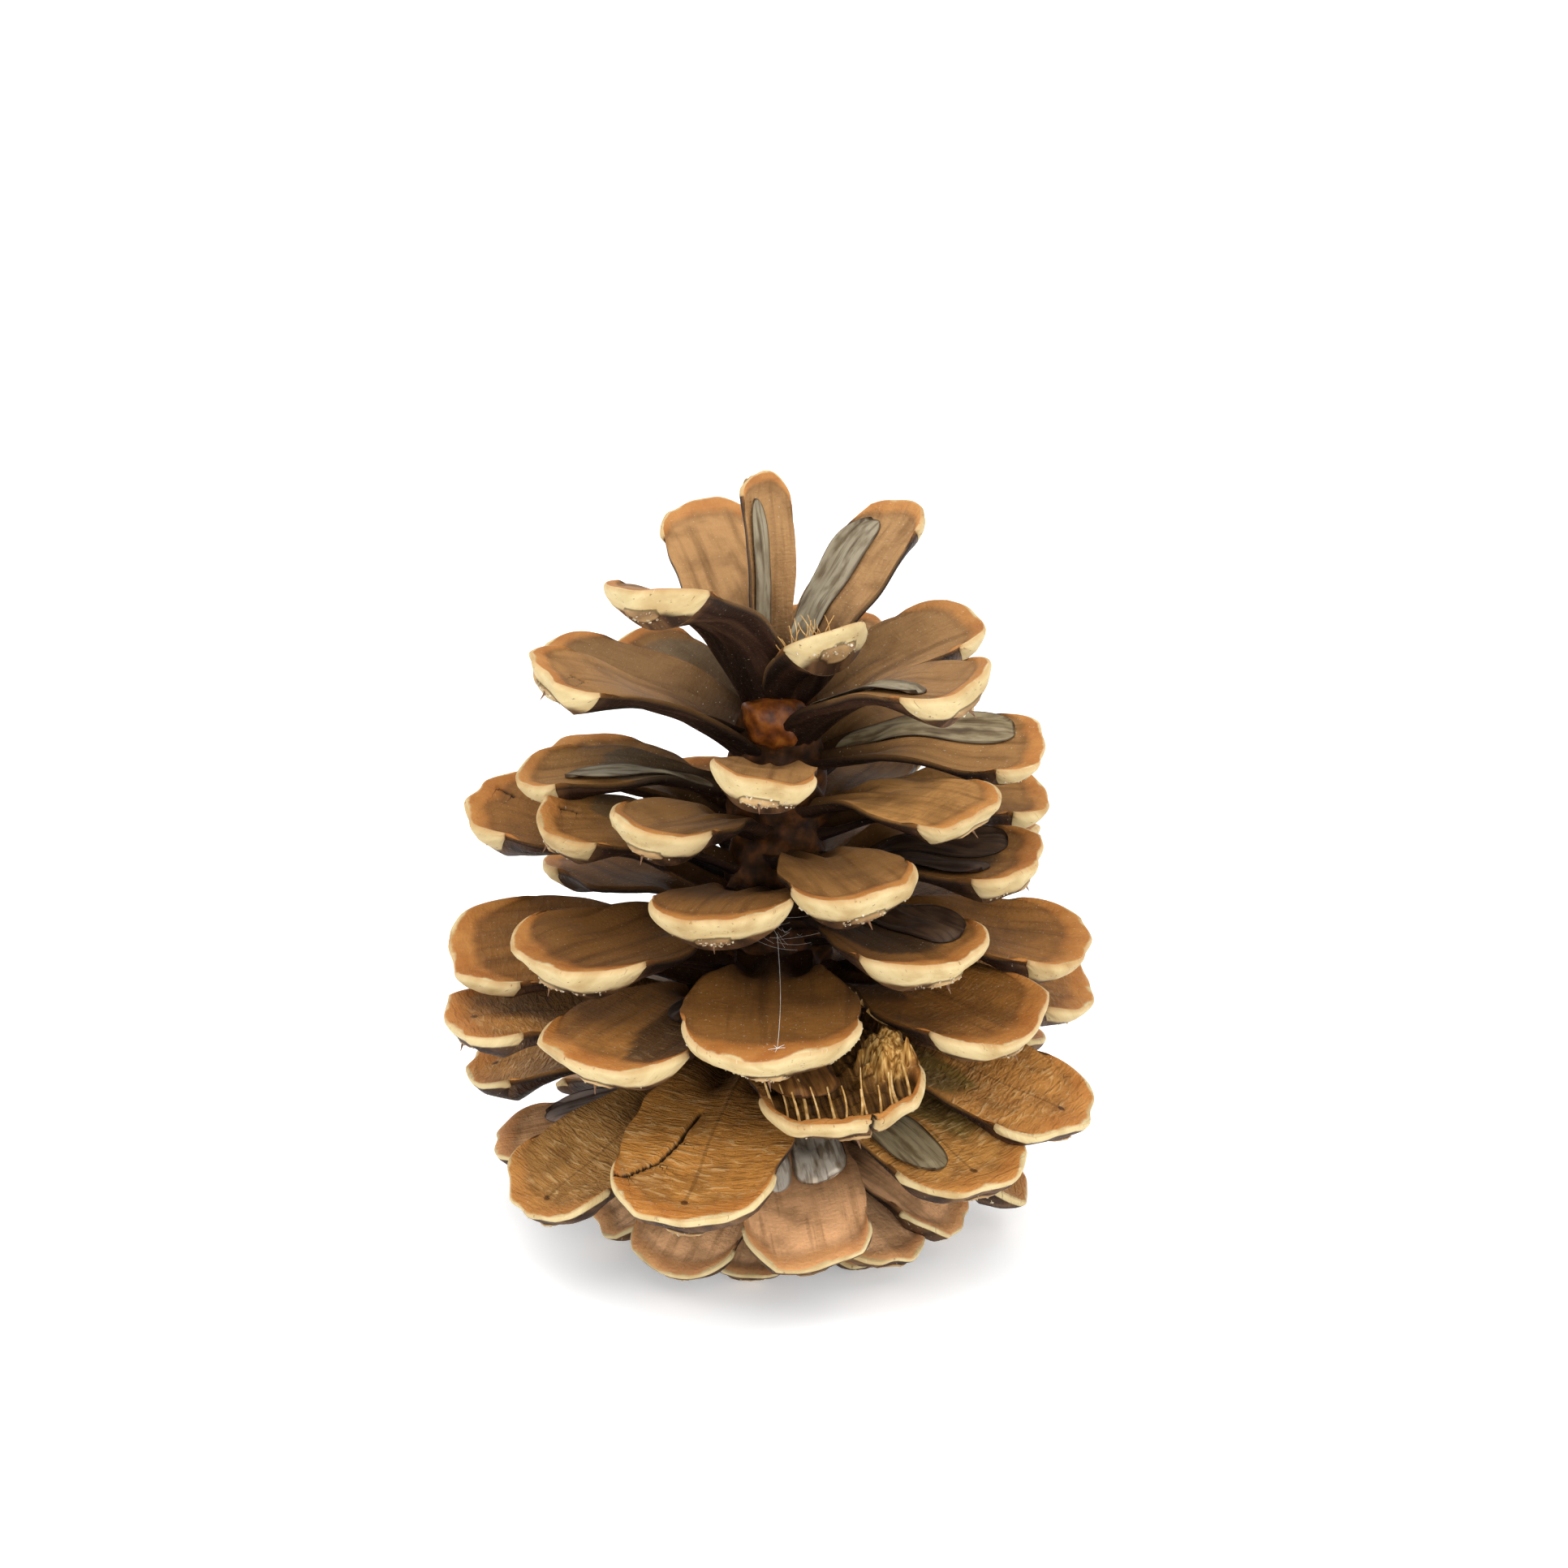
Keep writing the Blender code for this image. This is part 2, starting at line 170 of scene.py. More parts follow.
class Scale:                                # one scale's surfaces in mm: it faces -Y, its root at height 0
    def __init__(self, number):
        self.number = number
        draw = random.Random(spiral["seed"] * 1000 + number)
        turn, lift, reach = leans.get(number, (0, 0, 0))
        at = lambda key: float(run(spiral[key], number))
        self.lean = math.radians(turn)
        self.turn = math.radians(spiral["firstTurn"] + spiral["turnPerScale"] * number + turn)
        self.rootHeight = at("rootHeight")
        self.rootReach = at("rootReach")
        rise = at("tipHeight") + lift - self.rootHeight
        away = at("tipReach") + reach - self.rootReach
        chord = math.hypot(away, rise)
        arch, roll = twists.get(number, (0, 0))
        arch = math.radians(at("arch") + arch)
        self.firstTilt = math.atan2(rise, away) + arch
        self.length = chord * arch / math.sin(arch)
        self.bend = 2 * arch / self.length
        size = narrow.get(number, 1.0) * (1 + spiral["sizeSpread"] * draw.uniform(-1, 1))
        self.half = at("halfWidth") * size
        self.thick = at("thickness") * size
        self.sway = spiral["swayMost"] * draw.uniform(-1, 1)
        self.roll = math.radians(spiral["rollMost"]) * draw.uniform(-1, 1)
        self.roll += math.radians(spiral["droop"] * at("droopRun") * math.sin(self.turn) + roll)
        self.rounding = scaleForm["rounding"] * self.half
        self.undercut = scaleForm["undercut"] * self.thick
        self.tone = draw.random()
        self.skew = scaleForm["skewMost"] * draw.uniform(-1, 1)
        self.corners = []
        for side in (-1, 1):
            place = side * math.radians(draw.uniform(*scaleForm["corners"]))
            self.corners.append((place, scaleForm["cornerMost"] * draw.random() * size))
        self.crusted = draw.random()
        self.waist = waists["necked" if number in neckedScales else "broad"]
        self.warp = Waves(number * 17 + 1, scaleForm["warpLength"])
        self.rimWave = Waves(number * 17 + 2, scaleForm["rimWaveLength"])
        self.groove = Waves(number * 17 + 3, scaleForm["grooveLength"], 9)
        self.sideWave = Waves(number * 17 + 4, scaleForm["sideWaveLength"])

    def place(self, across, out, above):    # bends the flat shape along its arc
        tilt = self.firstTilt - self.bend * out
        reach = (math.sin(self.firstTilt) - np.sin(tilt)) / self.bend
        height = (np.cos(tilt) - math.cos(self.firstTilt)) / self.bend
        share = np.clip(out / self.length, 0, 2)
        lean = self.roll * share
        side = across * np.cos(lean) - above * np.sin(lean) + self.sway * share * share
        above = across * np.sin(lean) + above * np.cos(lean)
        reach = reach + self.rootReach - above * np.sin(tilt)
        return np.stack([side, -reach, height + above * np.cos(tilt)], axis=-1)

    def world(self, points):                # from the mould's frame to the cone's, still in mm
        cosine, sine = math.cos(self.turn), math.sin(self.turn)
        x, y, z = points[..., 0], points[..., 1], points[..., 2]
        turned = [x * cosine - y * sine, x * sine + y * cosine + spiral["shiftY"],
                  z + self.rootHeight - spiral["settling"]]
        return np.stack(turned, axis=-1)

    def rimShift(self, angle):              # the rim's unevenness: slow waves, a skew and two blunt corners
        sine = np.sin(angle)
        shift = scaleForm["rimWaves"] * self.rimWave(sine * self.half, 0.0) + self.skew * sine
        for corner, size in self.corners:
            shift = shift + size * np.exp(-np.abs(angle - corner) / scaleForm["cornerWidth"])
        return shift

    def aside(self, share, sine):           # how far to the side a point lies
        wave = self.sideWave(share * self.length, np.sign(sine) * scaleForm["sidesApart"])
        return self.half * run(self.waist, share, 0.07) * sine * (1 + scaleForm["sideWaves"] * wave)

    def warped(self, share, across, out):   # the slow warp of both faces, none at the root
        return scaleForm["warp"] * self.warp(across, out) * smooth(*scaleForm["warpRun"], share)

    def upper(self, share, angle):          # across, out and above on the face towards the cone's tip
        form = scaleForm
        sine = np.sin(angle)
        rim = self.length - self.rounding * (1 - np.cos(angle)) + self.rimShift(angle)
        across, out = self.aside(share, sine), share * rim
        inward = rim - out
        above = form["dish"] * np.sin(math.pi * share) * (sine ** 2 - 0.5)
        border = 1 - smooth(form["borderStart"], form["borderWidth"], inward)
        above = above + form["borderRise"] * border * smooth(*form["borderRun"], share)
        lobes = np.exp(-((np.abs(across) / self.half - form["pitAside"]) / form["pitWidth"]) ** 2)
        pit = lobes * smooth(*form["pitStart"], share) * (1 - smooth(*form["pitEnd"], share))
        above = above - form["seedPit"] * pit * min(1.0, self.half / form["fullPit"])
        rib = np.exp(-(across / form["ribWidth"]) ** 2) * (1 - smooth(*form["ribEnd"], share))
        return across, out, above + form["rib"] * rib + self.warped(share, across, out), inward

    def lower(self, share, angle):          # the keeled face towards the stem
        form = scaleForm
        sine, cosine = np.sin(angle), np.maximum(0, np.cos(angle))
        rim = self.length - self.rounding + (self.rounding - self.undercut) * cosine + self.rimShift(angle)
        across, out = self.aside(share, sine), share * rim
        keeled = (self.thick * run(keel, share, 0.05) - form["edge"]) * cosine ** form["sharpness"]
        grooves = self.groove(across * 1.4, out * 0.12) * cosine * (1 - smooth(*form["groovesEnd"], share))
        above = form["grooves"] * grooves - form["edge"] - keeled + self.warped(share, across, out)
        return across, out, above, rim - out

    def cap(self, share, angle):            # the thick outer end: share runs from the lip to the lower rim
        form = scaleForm
        one = np.ones_like(share)
        lip, low = self.upper(one, angle), self.lower(one, angle)
        cosine = np.maximum(0, np.cos(angle))
        across, out, above = (a + (b - a) * share for a, b in zip(lip[:3], low[:3]))
        nose = np.sin(math.pi * share ** form["noseHigh"]) ** form["noseBlunt"]
        bulge = form["noseBulge"] * self.thick * nose * (0.2 + 0.8 * cosine)
        beside = share - form["umboPlace"]
        bulge = bulge + form["keelRise"] * np.exp(-(beside / form["keelWidth"]) ** 2) * cosine
        bulge = bulge + form["capGrooves"] * self.groove(across * 0.8, share * 3) * np.sin(math.pi * share)
        near = (across / form["umboWidth"]) ** 2 + (beside * self.thick / form["umboHeight"]) ** 2
        umbo = 1 - smooth(*form["umboEdge"], near)
        lumps = 1 + form["umboLumps"] * self.groove(across * 3, share * 9)
        bulge = bulge + form["umboRise"] * umbo * (self.thick / 4) * lumps
        away = np.stack([np.sin(angle) / self.half, np.cos(angle) / self.rounding])
        away = away / np.linalg.norm(away, axis=0)
        return across + bulge * away[0], out + bulge * away[1], above, share * self.thick * cosine, umbo


# The broken scale, in mm: its pit's depth as a share of the wood there, how the pit ends towards the rim, the
# root and the sides, the stump's place across and along, its reach and height, and the crack through the rim.
torn = {"scale": 41, "deep": 0.62, "rim": (0.9, 1.25), "root": (0.34, 0.40), "sides": (0.80, 0.88),
        "stump": (4.3, 15.8), "stumpReach": (2.4, 3.2), "stumpHeight": 2.5, "crumbs": 1.3, "seed": 41,
        "split": 1.2, "splitDepth": 0.9, "splitWidth": (0.06, 0.3)}


def tornScale(scale, share, angle, surface):   # the pit behind the rim, and the crumbly stump beside it
    across, out, above, inward = surface
    crumbs = Waves(torn["seed"], torn["crumbs"], 12)
    ragged = 0.25 * scale.sideWave(across * 3, 0) + 0.15 * scale.groove(across * 2, out)
    hole = smooth(*torn["rim"], inward + ragged * 0.5) * smooth(*torn["root"], share + 0.03 * ragged)
    hole = hole * (1 - smooth(*torn["sides"], np.abs(across) / scale.half + 0.04 * ragged))
    deep = torn["deep"] * (above - scale.lower(share, angle)[2]) + 0.2 * crumbs(across, out)
    away = np.hypot(*[(place - middle) / reach for place, middle, reach
                      in zip((across, out), torn["stump"], torn["stumpReach"])])
    stump = 1 - smooth(0.3, 1.0, away + 0.12 * crumbs(across * 1.3, out * 1.3))
    rise = torn["stumpHeight"] * stump + 0.3 * crumbs(across * 1.7, out * 1.7) * smooth(0.05, 0.5, stump)
    stump = smooth(0.02, 0.2, stump)
    return above - hole * deep + rise, hole * (1 - stump), stump


crackLines = {                              # in shares of half width and length: from the edge inwards
    9: ((0.07, 0.872), (0.18, 0.856), (0.3, 0.842)), 22: ((-0.48, 0.875), (-0.45, 0.83), (-0.40, 0.80)),
    27: ((-0.34, 0.933), (-0.32, 0.90), (-0.28, 0.875)),
    46: ((-0.98, 0.86), (-0.77, 0.837), (-0.50, 0.765), (-0.34, 0.661), (-0.31, 0.563), (-0.27, 0.50)),
}
crackForm = {"depth": 0.6, "width": (0.06, 0.26), "none": 9.0}   # in mm; the last one stands for no crack near


def crackDistance(scale, across, out):      # signed distance in mm from a crack's line
    distance = np.full(across.shape, crackForm["none"])
    points = [(a * scale.half, b * scale.length) for a, b in crackLines.get(scale.number, ())]
    for (ax, ay), (bx, by) in zip(points, points[1:]):
        length = math.hypot(bx - ax, by - ay)
        ux, uy = (bx - ax) / length, (by - ay) / length
        along = (across - ax) * ux + (out - ay) * uy
        aside = (across - ax) * uy - (out - ay) * ux
        beyond = np.maximum(0, np.maximum(-along, along - length))
        here = np.where(beyond > 0, np.hypot(aside, beyond), aside)
        distance = np.where(np.abs(here) < np.abs(distance), here, distance)
    return distance


# What the scales are like from the tip's down to the foot's: the inner faces' colour, how wrinkled they are,
# how much resin crusts their ends, and how far down the cream goes there in mm; below the cream the end is dark
# brown, partly its own colour, partly painted shade.
innerTones = ((0, "#a47d52"), (8, "#8d673d"), (14, "#8f6739"), (24, "#7f572c"), (36, "#7a4f21"),
              (42, "#a3703a"), (46, "#b67c3a"), (52, "#b08046"), (54, "#eeb480"), (64, "#f4be8c"),
              (72, "#f4be8c"))
wrinkled = ((0, 0.3), (10, 0.15), (30, 0.1), (40, 0.5), (44, 1.0), (52, 1.0), (54, 0.12), (72, 0.1))
crusts = ((0, 1.0), (24, 0.9), (40, 0.3), (72, 0.12))
creamDepths = ((0, 1.7), (8, 1.9), (20, 2.0), (33, 2.0), (41, 1.6), (44, 0.6), (46, 0.45), (52, 0.45),
               (54, 0.3), (72, 0.25))
# How much lighter or darker single scales are, and the most that any colour may reach.
shades = {6: 0.62, 11: 0.8, 15: 1.7, 20: 1.2, 22: 1.1, 28: 0.9, 30: 0.7, 31: 1.25, 33: 0.8, 36: 1.1, 46: 1.05,
          51: 0.92}
shadeSpread, brightest = (0.90, 0.20), 0.9
# Dark or grey stains on inner faces, where a wing lay: side (0 for both), start and end along the scale,
# colour.
stains = {
    11: (0, 0.1, 0.9, "#6d5a42"), 14: (0, 0.1, 0.7, "#665642"), 22: (-1, 0.1, 0.8, "#6a5234"),
    23: (0, 0.1, 0.86, "#40301f"), 28: (0, 0.1, 0.88, "#35271a"), 38: (1, 0.1, 0.95, "#3a2816"),
    35: (1, 0.1, 0.7, "#5f4022"), 44: (-1, 0.1, 0.7, "#7d6429"), 49: (1, 0.2, 0.8, "#7a6230"),
    7: (-1, 0.1, 0.6, "#4a3018"), 36: (-1, 0.1, 0.6, "#4b3019"),
}
stainForm = {"strength": 0.88, "fromRim": (1.6, 2.1), "half": 4.8, "fromMiddle": 2.4, "taper": 0.3,
             "ragged": 0.4}


def innerTint(scale, share, across, inward):   # linear colour over one scale's inner face
    numbers, colours = zip(*innerTones)
    shade = shades.get(scale.number, 1.0) * (shadeSpread[0] + shadeSpread[1] * scale.tone)
    tint = [shade * np.interp(scale.number, numbers, [linear(c)[k] for c in colours]) for k in range(3)]
    tint = np.multiply.outer(np.ones_like(share), np.array(tint) * min(1, brightest / max(tint)))
    if scale.number in stains:
        side, start, end, colour = stains[scale.number]
        ragged = stainForm["ragged"] * scale.sideWave(across, inward)
        where = smooth(*stainForm["fromRim"], inward + 0.4 * ragged) * smooth(start, start + 0.08, share)
        where = where * (1 - smooth(end - 0.05, end, share + 0.03 * ragged))
        taper = np.clip((share - end) / stainForm["taper"] + 1, 0, 1)
        if side:
            beside = side * across - stainForm["fromMiddle"] * taper ** 1.5
            where = where * smooth(-0.1, 0.3, beside + 0.3 * ragged)
        else:
            beside = stainForm["half"] * np.sqrt(1 - taper ** 2) - abs(across)
            where = where * smooth(0, 0.4, beside + 0.3 * ragged)
        where = (stainForm["strength"] * where)[..., None]
        tint = tint * (1 - where) + where * np.array(linear(colour)[:3])
    return tint


def meshFrom(name, points, faces, attributes=None):
    mesh = bpy.data.meshes.new(name)
    mesh.vertices.add(len(points))
    mesh.vertices.foreach_set("co", np.asarray(points, np.float32).ravel())
    sizes = np.array([len(f) for f in faces], np.int32)
    mesh.loops.add(int(sizes.sum()))
    mesh.loops.foreach_set("vertex_index", np.concatenate([np.asarray(f, np.int32) for f in faces]))
    mesh.polygons.add(len(faces))
    mesh.polygons.foreach_set("loop_start", np.concatenate([[0], np.cumsum(sizes)[:-1]]).astype(np.int32))
    mesh.update(calc_edges=True)
    mesh.polygons.foreach_set("use_smooth", np.ones(len(faces), bool))
    for key, values in (attributes or {}).items():
        layer = mesh.attributes.new(key, "FLOAT_VECTOR", "POINT")
        layer.data.foreach_set("vector", np.asarray(values, np.float32).ravel())
    return mesh


def gridFaces(rows, columns, first=0, wrap=False):
    faces = []
    for r in range(rows - 1):
        for c in range(columns if wrap else columns - 1):
            d = (c + 1) % columns
            a, b = first + r * columns, first + (r + 1) * columns
            faces.append((a + c, a + d, b + d, b + c))
    return faces


def fieldRows(shape, *rows):                # stacks fields of three values; a single number fills the grid
    return np.stack([row if isinstance(row, np.ndarray) else
                     np.stack([np.broadcast_to(value, shape) for value in row], -1) for row in rows])


# What a mould's fields hold, in this order. grain: across, along, and a number that sets the pattern apart.
# zone: share of the length, mm from the rim (as on a scale 6.6 mm to each side; 1 more below), depth on the
# outer end. skin: outer end, underside, fibres. mark: mm from a crack, how wrinkled, boss or stump. tint: the
# inner face's colour. crust: how much resin.
mouldFields = ("grain", "zone", "skin", "mark", "tint", "crust")
mouldForm = {"finer": 2, "toRim": 1.3, "inwardScale": 6.6, "grainApart": 90, "undersideApart": 40,
             "endTone": 0.5}


def scaleMould(number):                     # one fine scale, with what its material needs at each point
    scale, form = Scale(number), scaleForm
    finer = mouldForm["finer"] if number == torn["scale"] or number in crackLines else 1
    stations, capRows = form["stations"] * finer, form["capRows"] * finer
    columns = (form["columns"] - 1) * finer + 1
    shares = 1 - (1 - np.linspace(0, 1, stations)) ** mouldForm["toRim"]
    angles = np.radians(np.linspace(-90, 90, columns))
    share, angle = np.meshgrid(shares, angles, indexing="ij")
    rough, cream, noCrack = float(run(wrinkled, number)), float(run(creamDepths, number)), crackForm["none"]
    seed, fibre, stump = scale.tone * mouldForm["grainApart"], 0, 0
    across, out, above, inward = scale.upper(share, angle)
    tint = innerTint(scale, share, across, inward)
    if number == torn["scale"]:
        above, fibre, stump = tornScale(scale, share, angle, (across, out, above, inward))
    crack = crackDistance(scale, across, out)
    above = above - crackForm["depth"] * (1 - smooth(*crackForm["width"], np.abs(crack)))
    upper = fieldRows(share.shape, scale.place(across, out, above), (across, out, seed),
                      (share, inward * mouldForm["inwardScale"] / scale.half, 0), (0, 0, fibre),
                      (crack, rough, stump), tint, (0, 0, 0))
    across, out, above, inward = scale.lower(share, angle[:, ::-1])
    lower = fieldRows(share.shape, scale.place(across, out, above),
                      (across, out, seed + mouldForm["undersideApart"]), (share, 1 + inward, 0), (0, 1, 0),
                      (noCrack, rough, 0), tint, (0, 0, 0))
    rings = np.concatenate([upper, lower], axis=2)   # each ring runs over the scale and back under it
    around = rings.shape[2]
    capShares = 0.5 - 0.5 * np.cos(math.pi * np.arange(1, capRows) / capRows)
    share, angle = np.meshgrid(capShares, angles, indexing="ij")
    across, out, above, depth, umbo = scale.cap(share, angle)
    split = noCrack
    if number == torn["scale"]:             # the crack through the broken scale's rim
        split = across - torn["split"] + 0.25 * np.sin(share * 7)
        out = out - torn["splitDepth"] * (1 - smooth(*torn["splitWidth"], np.abs(split)))
    crust = smooth(0.1, 0.5, umbo) + 0.6 * smooth(0.2, 0.8, scale.groove(across * 0.5, 3.0)) * (
        smooth(0.45, 0.6, share) * (1 - smooth(0.75, 0.9, share)))
    crust = scale.crusted * float(run(crusts, number)) * crust
    tone = mouldForm["endTone"]
    cap = fieldRows(share.shape, scale.place(across, out, above), (across, out - depth, seed),
                    (1, share, depth / cream), (1, 0, 0), (split, rough, umbo), (tone, tone, tone),
                    (crust, crust, crust))
    faces = gridFaces(stations, around, 0, True)
    last = (stations - 1) * around
    first = stations * around
    topRow = [last + c for c in range(columns)]
    lowRow = [last + around - 1 - c for c in range(columns)]
    grid = [[first + r * columns + c for c in range(columns)] for r in range(len(capShares))]
    grid = [topRow] + grid + [lowRow]
    for high, low in zip(grid, grid[1:]):
        faces += [(high[c], high[c + 1], low[c + 1], low[c]) for c in range(columns - 1)]
    faces.append([row[0] for row in grid])  # the short sides of the outer end, and the root
    faces.append([row[-1] for row in grid][::-1])
    faces.append(list(range(around))[::-1])
    faces = [tuple(reversed(face)) for face in faces]
    layers = np.concatenate([part.reshape(len(part), -1, 3) for part in (rings, cap)], axis=1)
    return meshFrom(f"mould_{number:02d}", layers[0] * mm, faces, dict(zip(mouldFields, layers[1:]))), scale


def newMaterial(name, roughness, gloss=0.5):   # an empty principled material, with its tree and shader
    material = bpy.data.materials.new(name)
    material.use_nodes = True
    tree = material.node_tree
    shader = next(node for node in tree.nodes if node.type == "BSDF_PRINCIPLED")
    shader.inputs["Roughness"].default_value = roughness
    shader.inputs["Specular IOR Level"].default_value = gloss
    return material, tree, shader


# Scale wood. Patterns: turns per mm across the scale, along it and from scale to scale, then the noise's
# detail and distortion. Paints: the pattern that each follows, with its colours. Widths, waves and relief are
# in mm.
woodLook = {
    "patterns": {"streaks": ((0.9, 0.07, 1.0), 3, 0.0), "hairs": ((2.6, 0.2, 1.0), 3, 0.0),
                 "wrinkles": ((0.6, 2.3, 1.0), 4, 1.0), "blotches": ((0.33, 0.33, 1.0), 4, 0.3),
                 "wobble": ((0.45, 0.45, 1.0), 3, 0.0), "specks": ((3.2, 3.2, 1.0), 2, 0.0),
                 "dust": ((6.5, 6.5, 1.0), 0, 0.0)},
    "paints": {"streaks": ("streaks", ((0.30, "#c8c3bb"), (0.5, "#ffffff"), (0.7, "#ffffff"))),
               "orange": ("blotches", ((0.35, "#c08344"), (0.65, "#a5632b"))),
               "cream": ("blotches", ((0.30, "#a78d60"), (0.45, "#b9a376"), (0.58, "#c5b286"),
                                      (0.74, "#b39d6e"))),
               # below: dark brown under the cream on the outer end, partly painted shade; on the underside, its
               # lighter band towards the rim
               "below": ("streaks", ((0.35, "#2c1d13"), (0.5, "#493220"), (0.65, "#64482d"))),
               "boss": ("blotches", ((0.34, "#755a3d"), (0.5, "#9d7d55"), (0.66, "#bc9d70"))),
               # the underside: its own purple-brown, made darker as painted shade
               "back": ("streaks", ((0.32, "#130c08"), (0.5, "#271912"), (0.66, "#402c20"))),
               "fibres": ("hairs", ((0.36, "#34200b"), (0.54, "#5f3f1a"), (0.74, "#99713a"))),
               "crumbs": ("specks", ((0.36, "#6e4719"), (0.5, "#a87a3c"), (0.64, "#d3ab69")))},
    "borderFull": 2.0, "borderEnd": 3.3, "borderWaves": 1.7, "innerInBorder": 0.35, "lip": 0.82,
    "creamWaves": 0.6, "lineWidth": 0.14, "lineEnd": 2.3, "lineWaves": 0.12,
    "gloss": 0.12, "roughness": (0.62, 0.52), "bump": (0.9, 0.35), "relief": 0.36,
    "raised": {"streaks": 0.5, "hairs": 0.35, "specks": 0.25},
}


def pineScaleWood():                        # dry pine scale wood: matt, streaked lengthwise, smooth cream ends
    look = woodLook
    material, tree, shader = newMaterial("pineScaleWood", look["roughness"][0], look["gloss"])
    field = {name: addNode(tree, "ShaderNodeAttribute", attribute_name=name).outputs["Vector"]
             for name in ("zone", "skin", "mark", "grain", "tint")}
    for name, parts in (("grain", ("across",)), ("zone", ("share", "inward", "depth")),
                        ("skin", ("cap", "under", "fibre")), ("mark", ("crack", "rough", "umbo"))):
        field.update(zip(parts, addNode(tree, "ShaderNodeSeparateXYZ", {0: field[name]}).outputs))
    for name, (scale, detail, bend) in look["patterns"].items():
        places = addNode(tree, "ShaderNodeVectorMath", {0: field["grain"], 1: scale}, operation="MULTIPLY")
        field[name] = addNode(tree, "ShaderNodeTexNoise", {"Vector": places, "Scale": 1.0, "Detail": detail,
                                                           "Distortion": bend})
    # places in mm: the uneven edges of the border and the cream, the middle line and the spot that ends it
    for name, kind, *given in (
            ("wave", "MULTIPLY_ADD", "wobble", look["borderWaves"], "inward"),
            ("low", "MULTIPLY_ADD", "wobble", look["creamWaves"], "depth"),
            ("aside", "ABSOLUTE", "across"), ("aside", "MULTIPLY_ADD", "hairs", look["lineWaves"], "aside"),
            ("beyond", "SUBTRACT", "inward", look["lineEnd"]), ("split", "ABSOLUTE", "crack")):
        field[name] = addNode(tree, "ShaderNodeMath", {k: field.get(v, v) for k, v in enumerate(given)},
                              operation=kind)
    spot = addNode(tree, "ShaderNodeCombineXYZ", {0: field["across"], 1: field["beyond"]})
    field["spot"] = addNode(tree, "ShaderNodeVectorMath", {0: spot}, operation="LENGTH").outputs["Value"]
    # how strongly each thing shows: from start to end of a field it rises to its most
    for name, value, start, end, most in (
            # first: the wrinkles' painted highlights on their ridges and painted shade in their furrows
            ("wrinkleHighlights", "wrinkles", 0.50, 0.66, 0.42), ("wrinkleShade", "wrinkles", 0.46, 0.34, 0.45),
            ("line", "aside", look["lineWidth"] + 0.14, look["lineWidth"] - 0.02, 0.45),
            ("lineRun", "beyond", 0, 0.2, 1), ("lineSpot", "spot", 0.42, 0.2, 1),
            ("worn", "rough", 0.3, 0.9, 0.85), ("smoothness", "rough", 1, 0.2, 1),
            ("darkHairs", "hairs", 0.50, 0.72, 0.35)):
        field[name] = addNode(tree, "ShaderNodeMapRange", {0: field[value], 1: start, 2: end, 4: most},
                              interpolation_type="SMOOTHSTEP")
    for name, kind, second in (
            ("wrinkleHighlights", "MULTIPLY", "rough"), ("wrinkleShade", "MULTIPLY", "rough"),
            ("darkHairs", "MULTIPLY", "smoothness"), ("line", "MULTIPLY", "lineRun"),
            ("line", "MAXIMUM", "lineSpot"), ("line", "MULTIPLY", "worn")):
        field[name] = addNode(tree, "ShaderNodeMath", {0: field[name], 1: field[second]}, operation=kind)
    paint = {name: addNode(tree, "ShaderNodeValToRGB", {0: field[pattern]}, stops=stops)
             for name, (pattern, stops) in look["paints"].items()}
    paint["orange"] = addNode(tree, "ShaderNodeMix", {0: look["innerInBorder"], 6: paint["orange"],
                                                      7: field["tint"]}, data_type="RGBA")
    paint["face"] = addNode(tree, "ShaderNodeMix", {0: field["smoothness"], 6: field["tint"],
                                                    7: paint["streaks"]}, data_type="RGBA",
                            blend_type="MULTIPLY")
    paint["end"] = paint["cream"]
    for coat, value, start, end, most, colour in (
            # the inner face: blotches, fine hairs, painted highlights on wrinkle ridges and painted shade in
            # their furrows, the middle line, painted shade darkening towards the root, the border
            ("face", "blotches", 0.44, 0.68, 0.42, "#57391b"), ("face", "darkHairs", 0, 1, 1, "#5a3a1c"),
            # painted highlight on the wrinkles' ridges, painted shade in their furrows
            ("face", "wrinkleHighlights", 0, 1, 1, "#dfb981"), ("face", "wrinkleShade", 0, 1, 1, "#6b3f16"),
            # the middle line, then painted shade: the inner face darkens towards its root, deep among the
            # scales
            ("face", "line", 0, 1, 1, "#3d240f"), ("face", "share", 0.58, 0.10, 0.88, "#2a180b"),
            ("face", "wave", look["borderEnd"] + 0.7, look["borderEnd"] - 0.2, 0.25, "#5b3316"),
            ("face", "wave", look["borderEnd"], look["borderFull"], 0.85, "orange"),
            ("face", "wave", look["lip"] + 0.25, look["lip"] - 0.15, 1, "cream"),
            # the thick outer end: cream, orange at its lip, dark brown below the cream (partly its own colour,
            # partly painted shade), the boss with a dark line round it
            ("end", "specks", 0.66, 0.73, 0.65, "#5d452a"), ("end", "depth", 0.2, 0, 0.35, "#a3672e"),
            # painted shade in part: below the cream the outer end turns dark brown
            ("end", "low", 1.15, 1.45, 1, "below"), ("end", "umbo", 0.05, 0.25, 0.75, "#33210f"),
            ("end", "umbo", 0.3, 0.7, 1, "boss"), ("face", "umbo", 0, 1, 1, "crumbs"),
            ("face", "cap", 0, 1, 1, "end"),
            # the back: its own purple-brown, darkened further as painted shade among the scales, wrinkled,
            # lighter towards the rim
            ("back", "inward", 2.2, 1.1, 0.7, "below"), ("face", "under", 0, 1, 1, "back"),
            # what lies over all: dust, torn fibres and cracks
            ("face", "dust", 0.78, 0.84, 0.4, "#c9bda6"), ("face", "fibre", 0, 1, 1, "fibres"),
            ("face", "split", 0.24, 0.09, 0.95, "#1a0f07")):
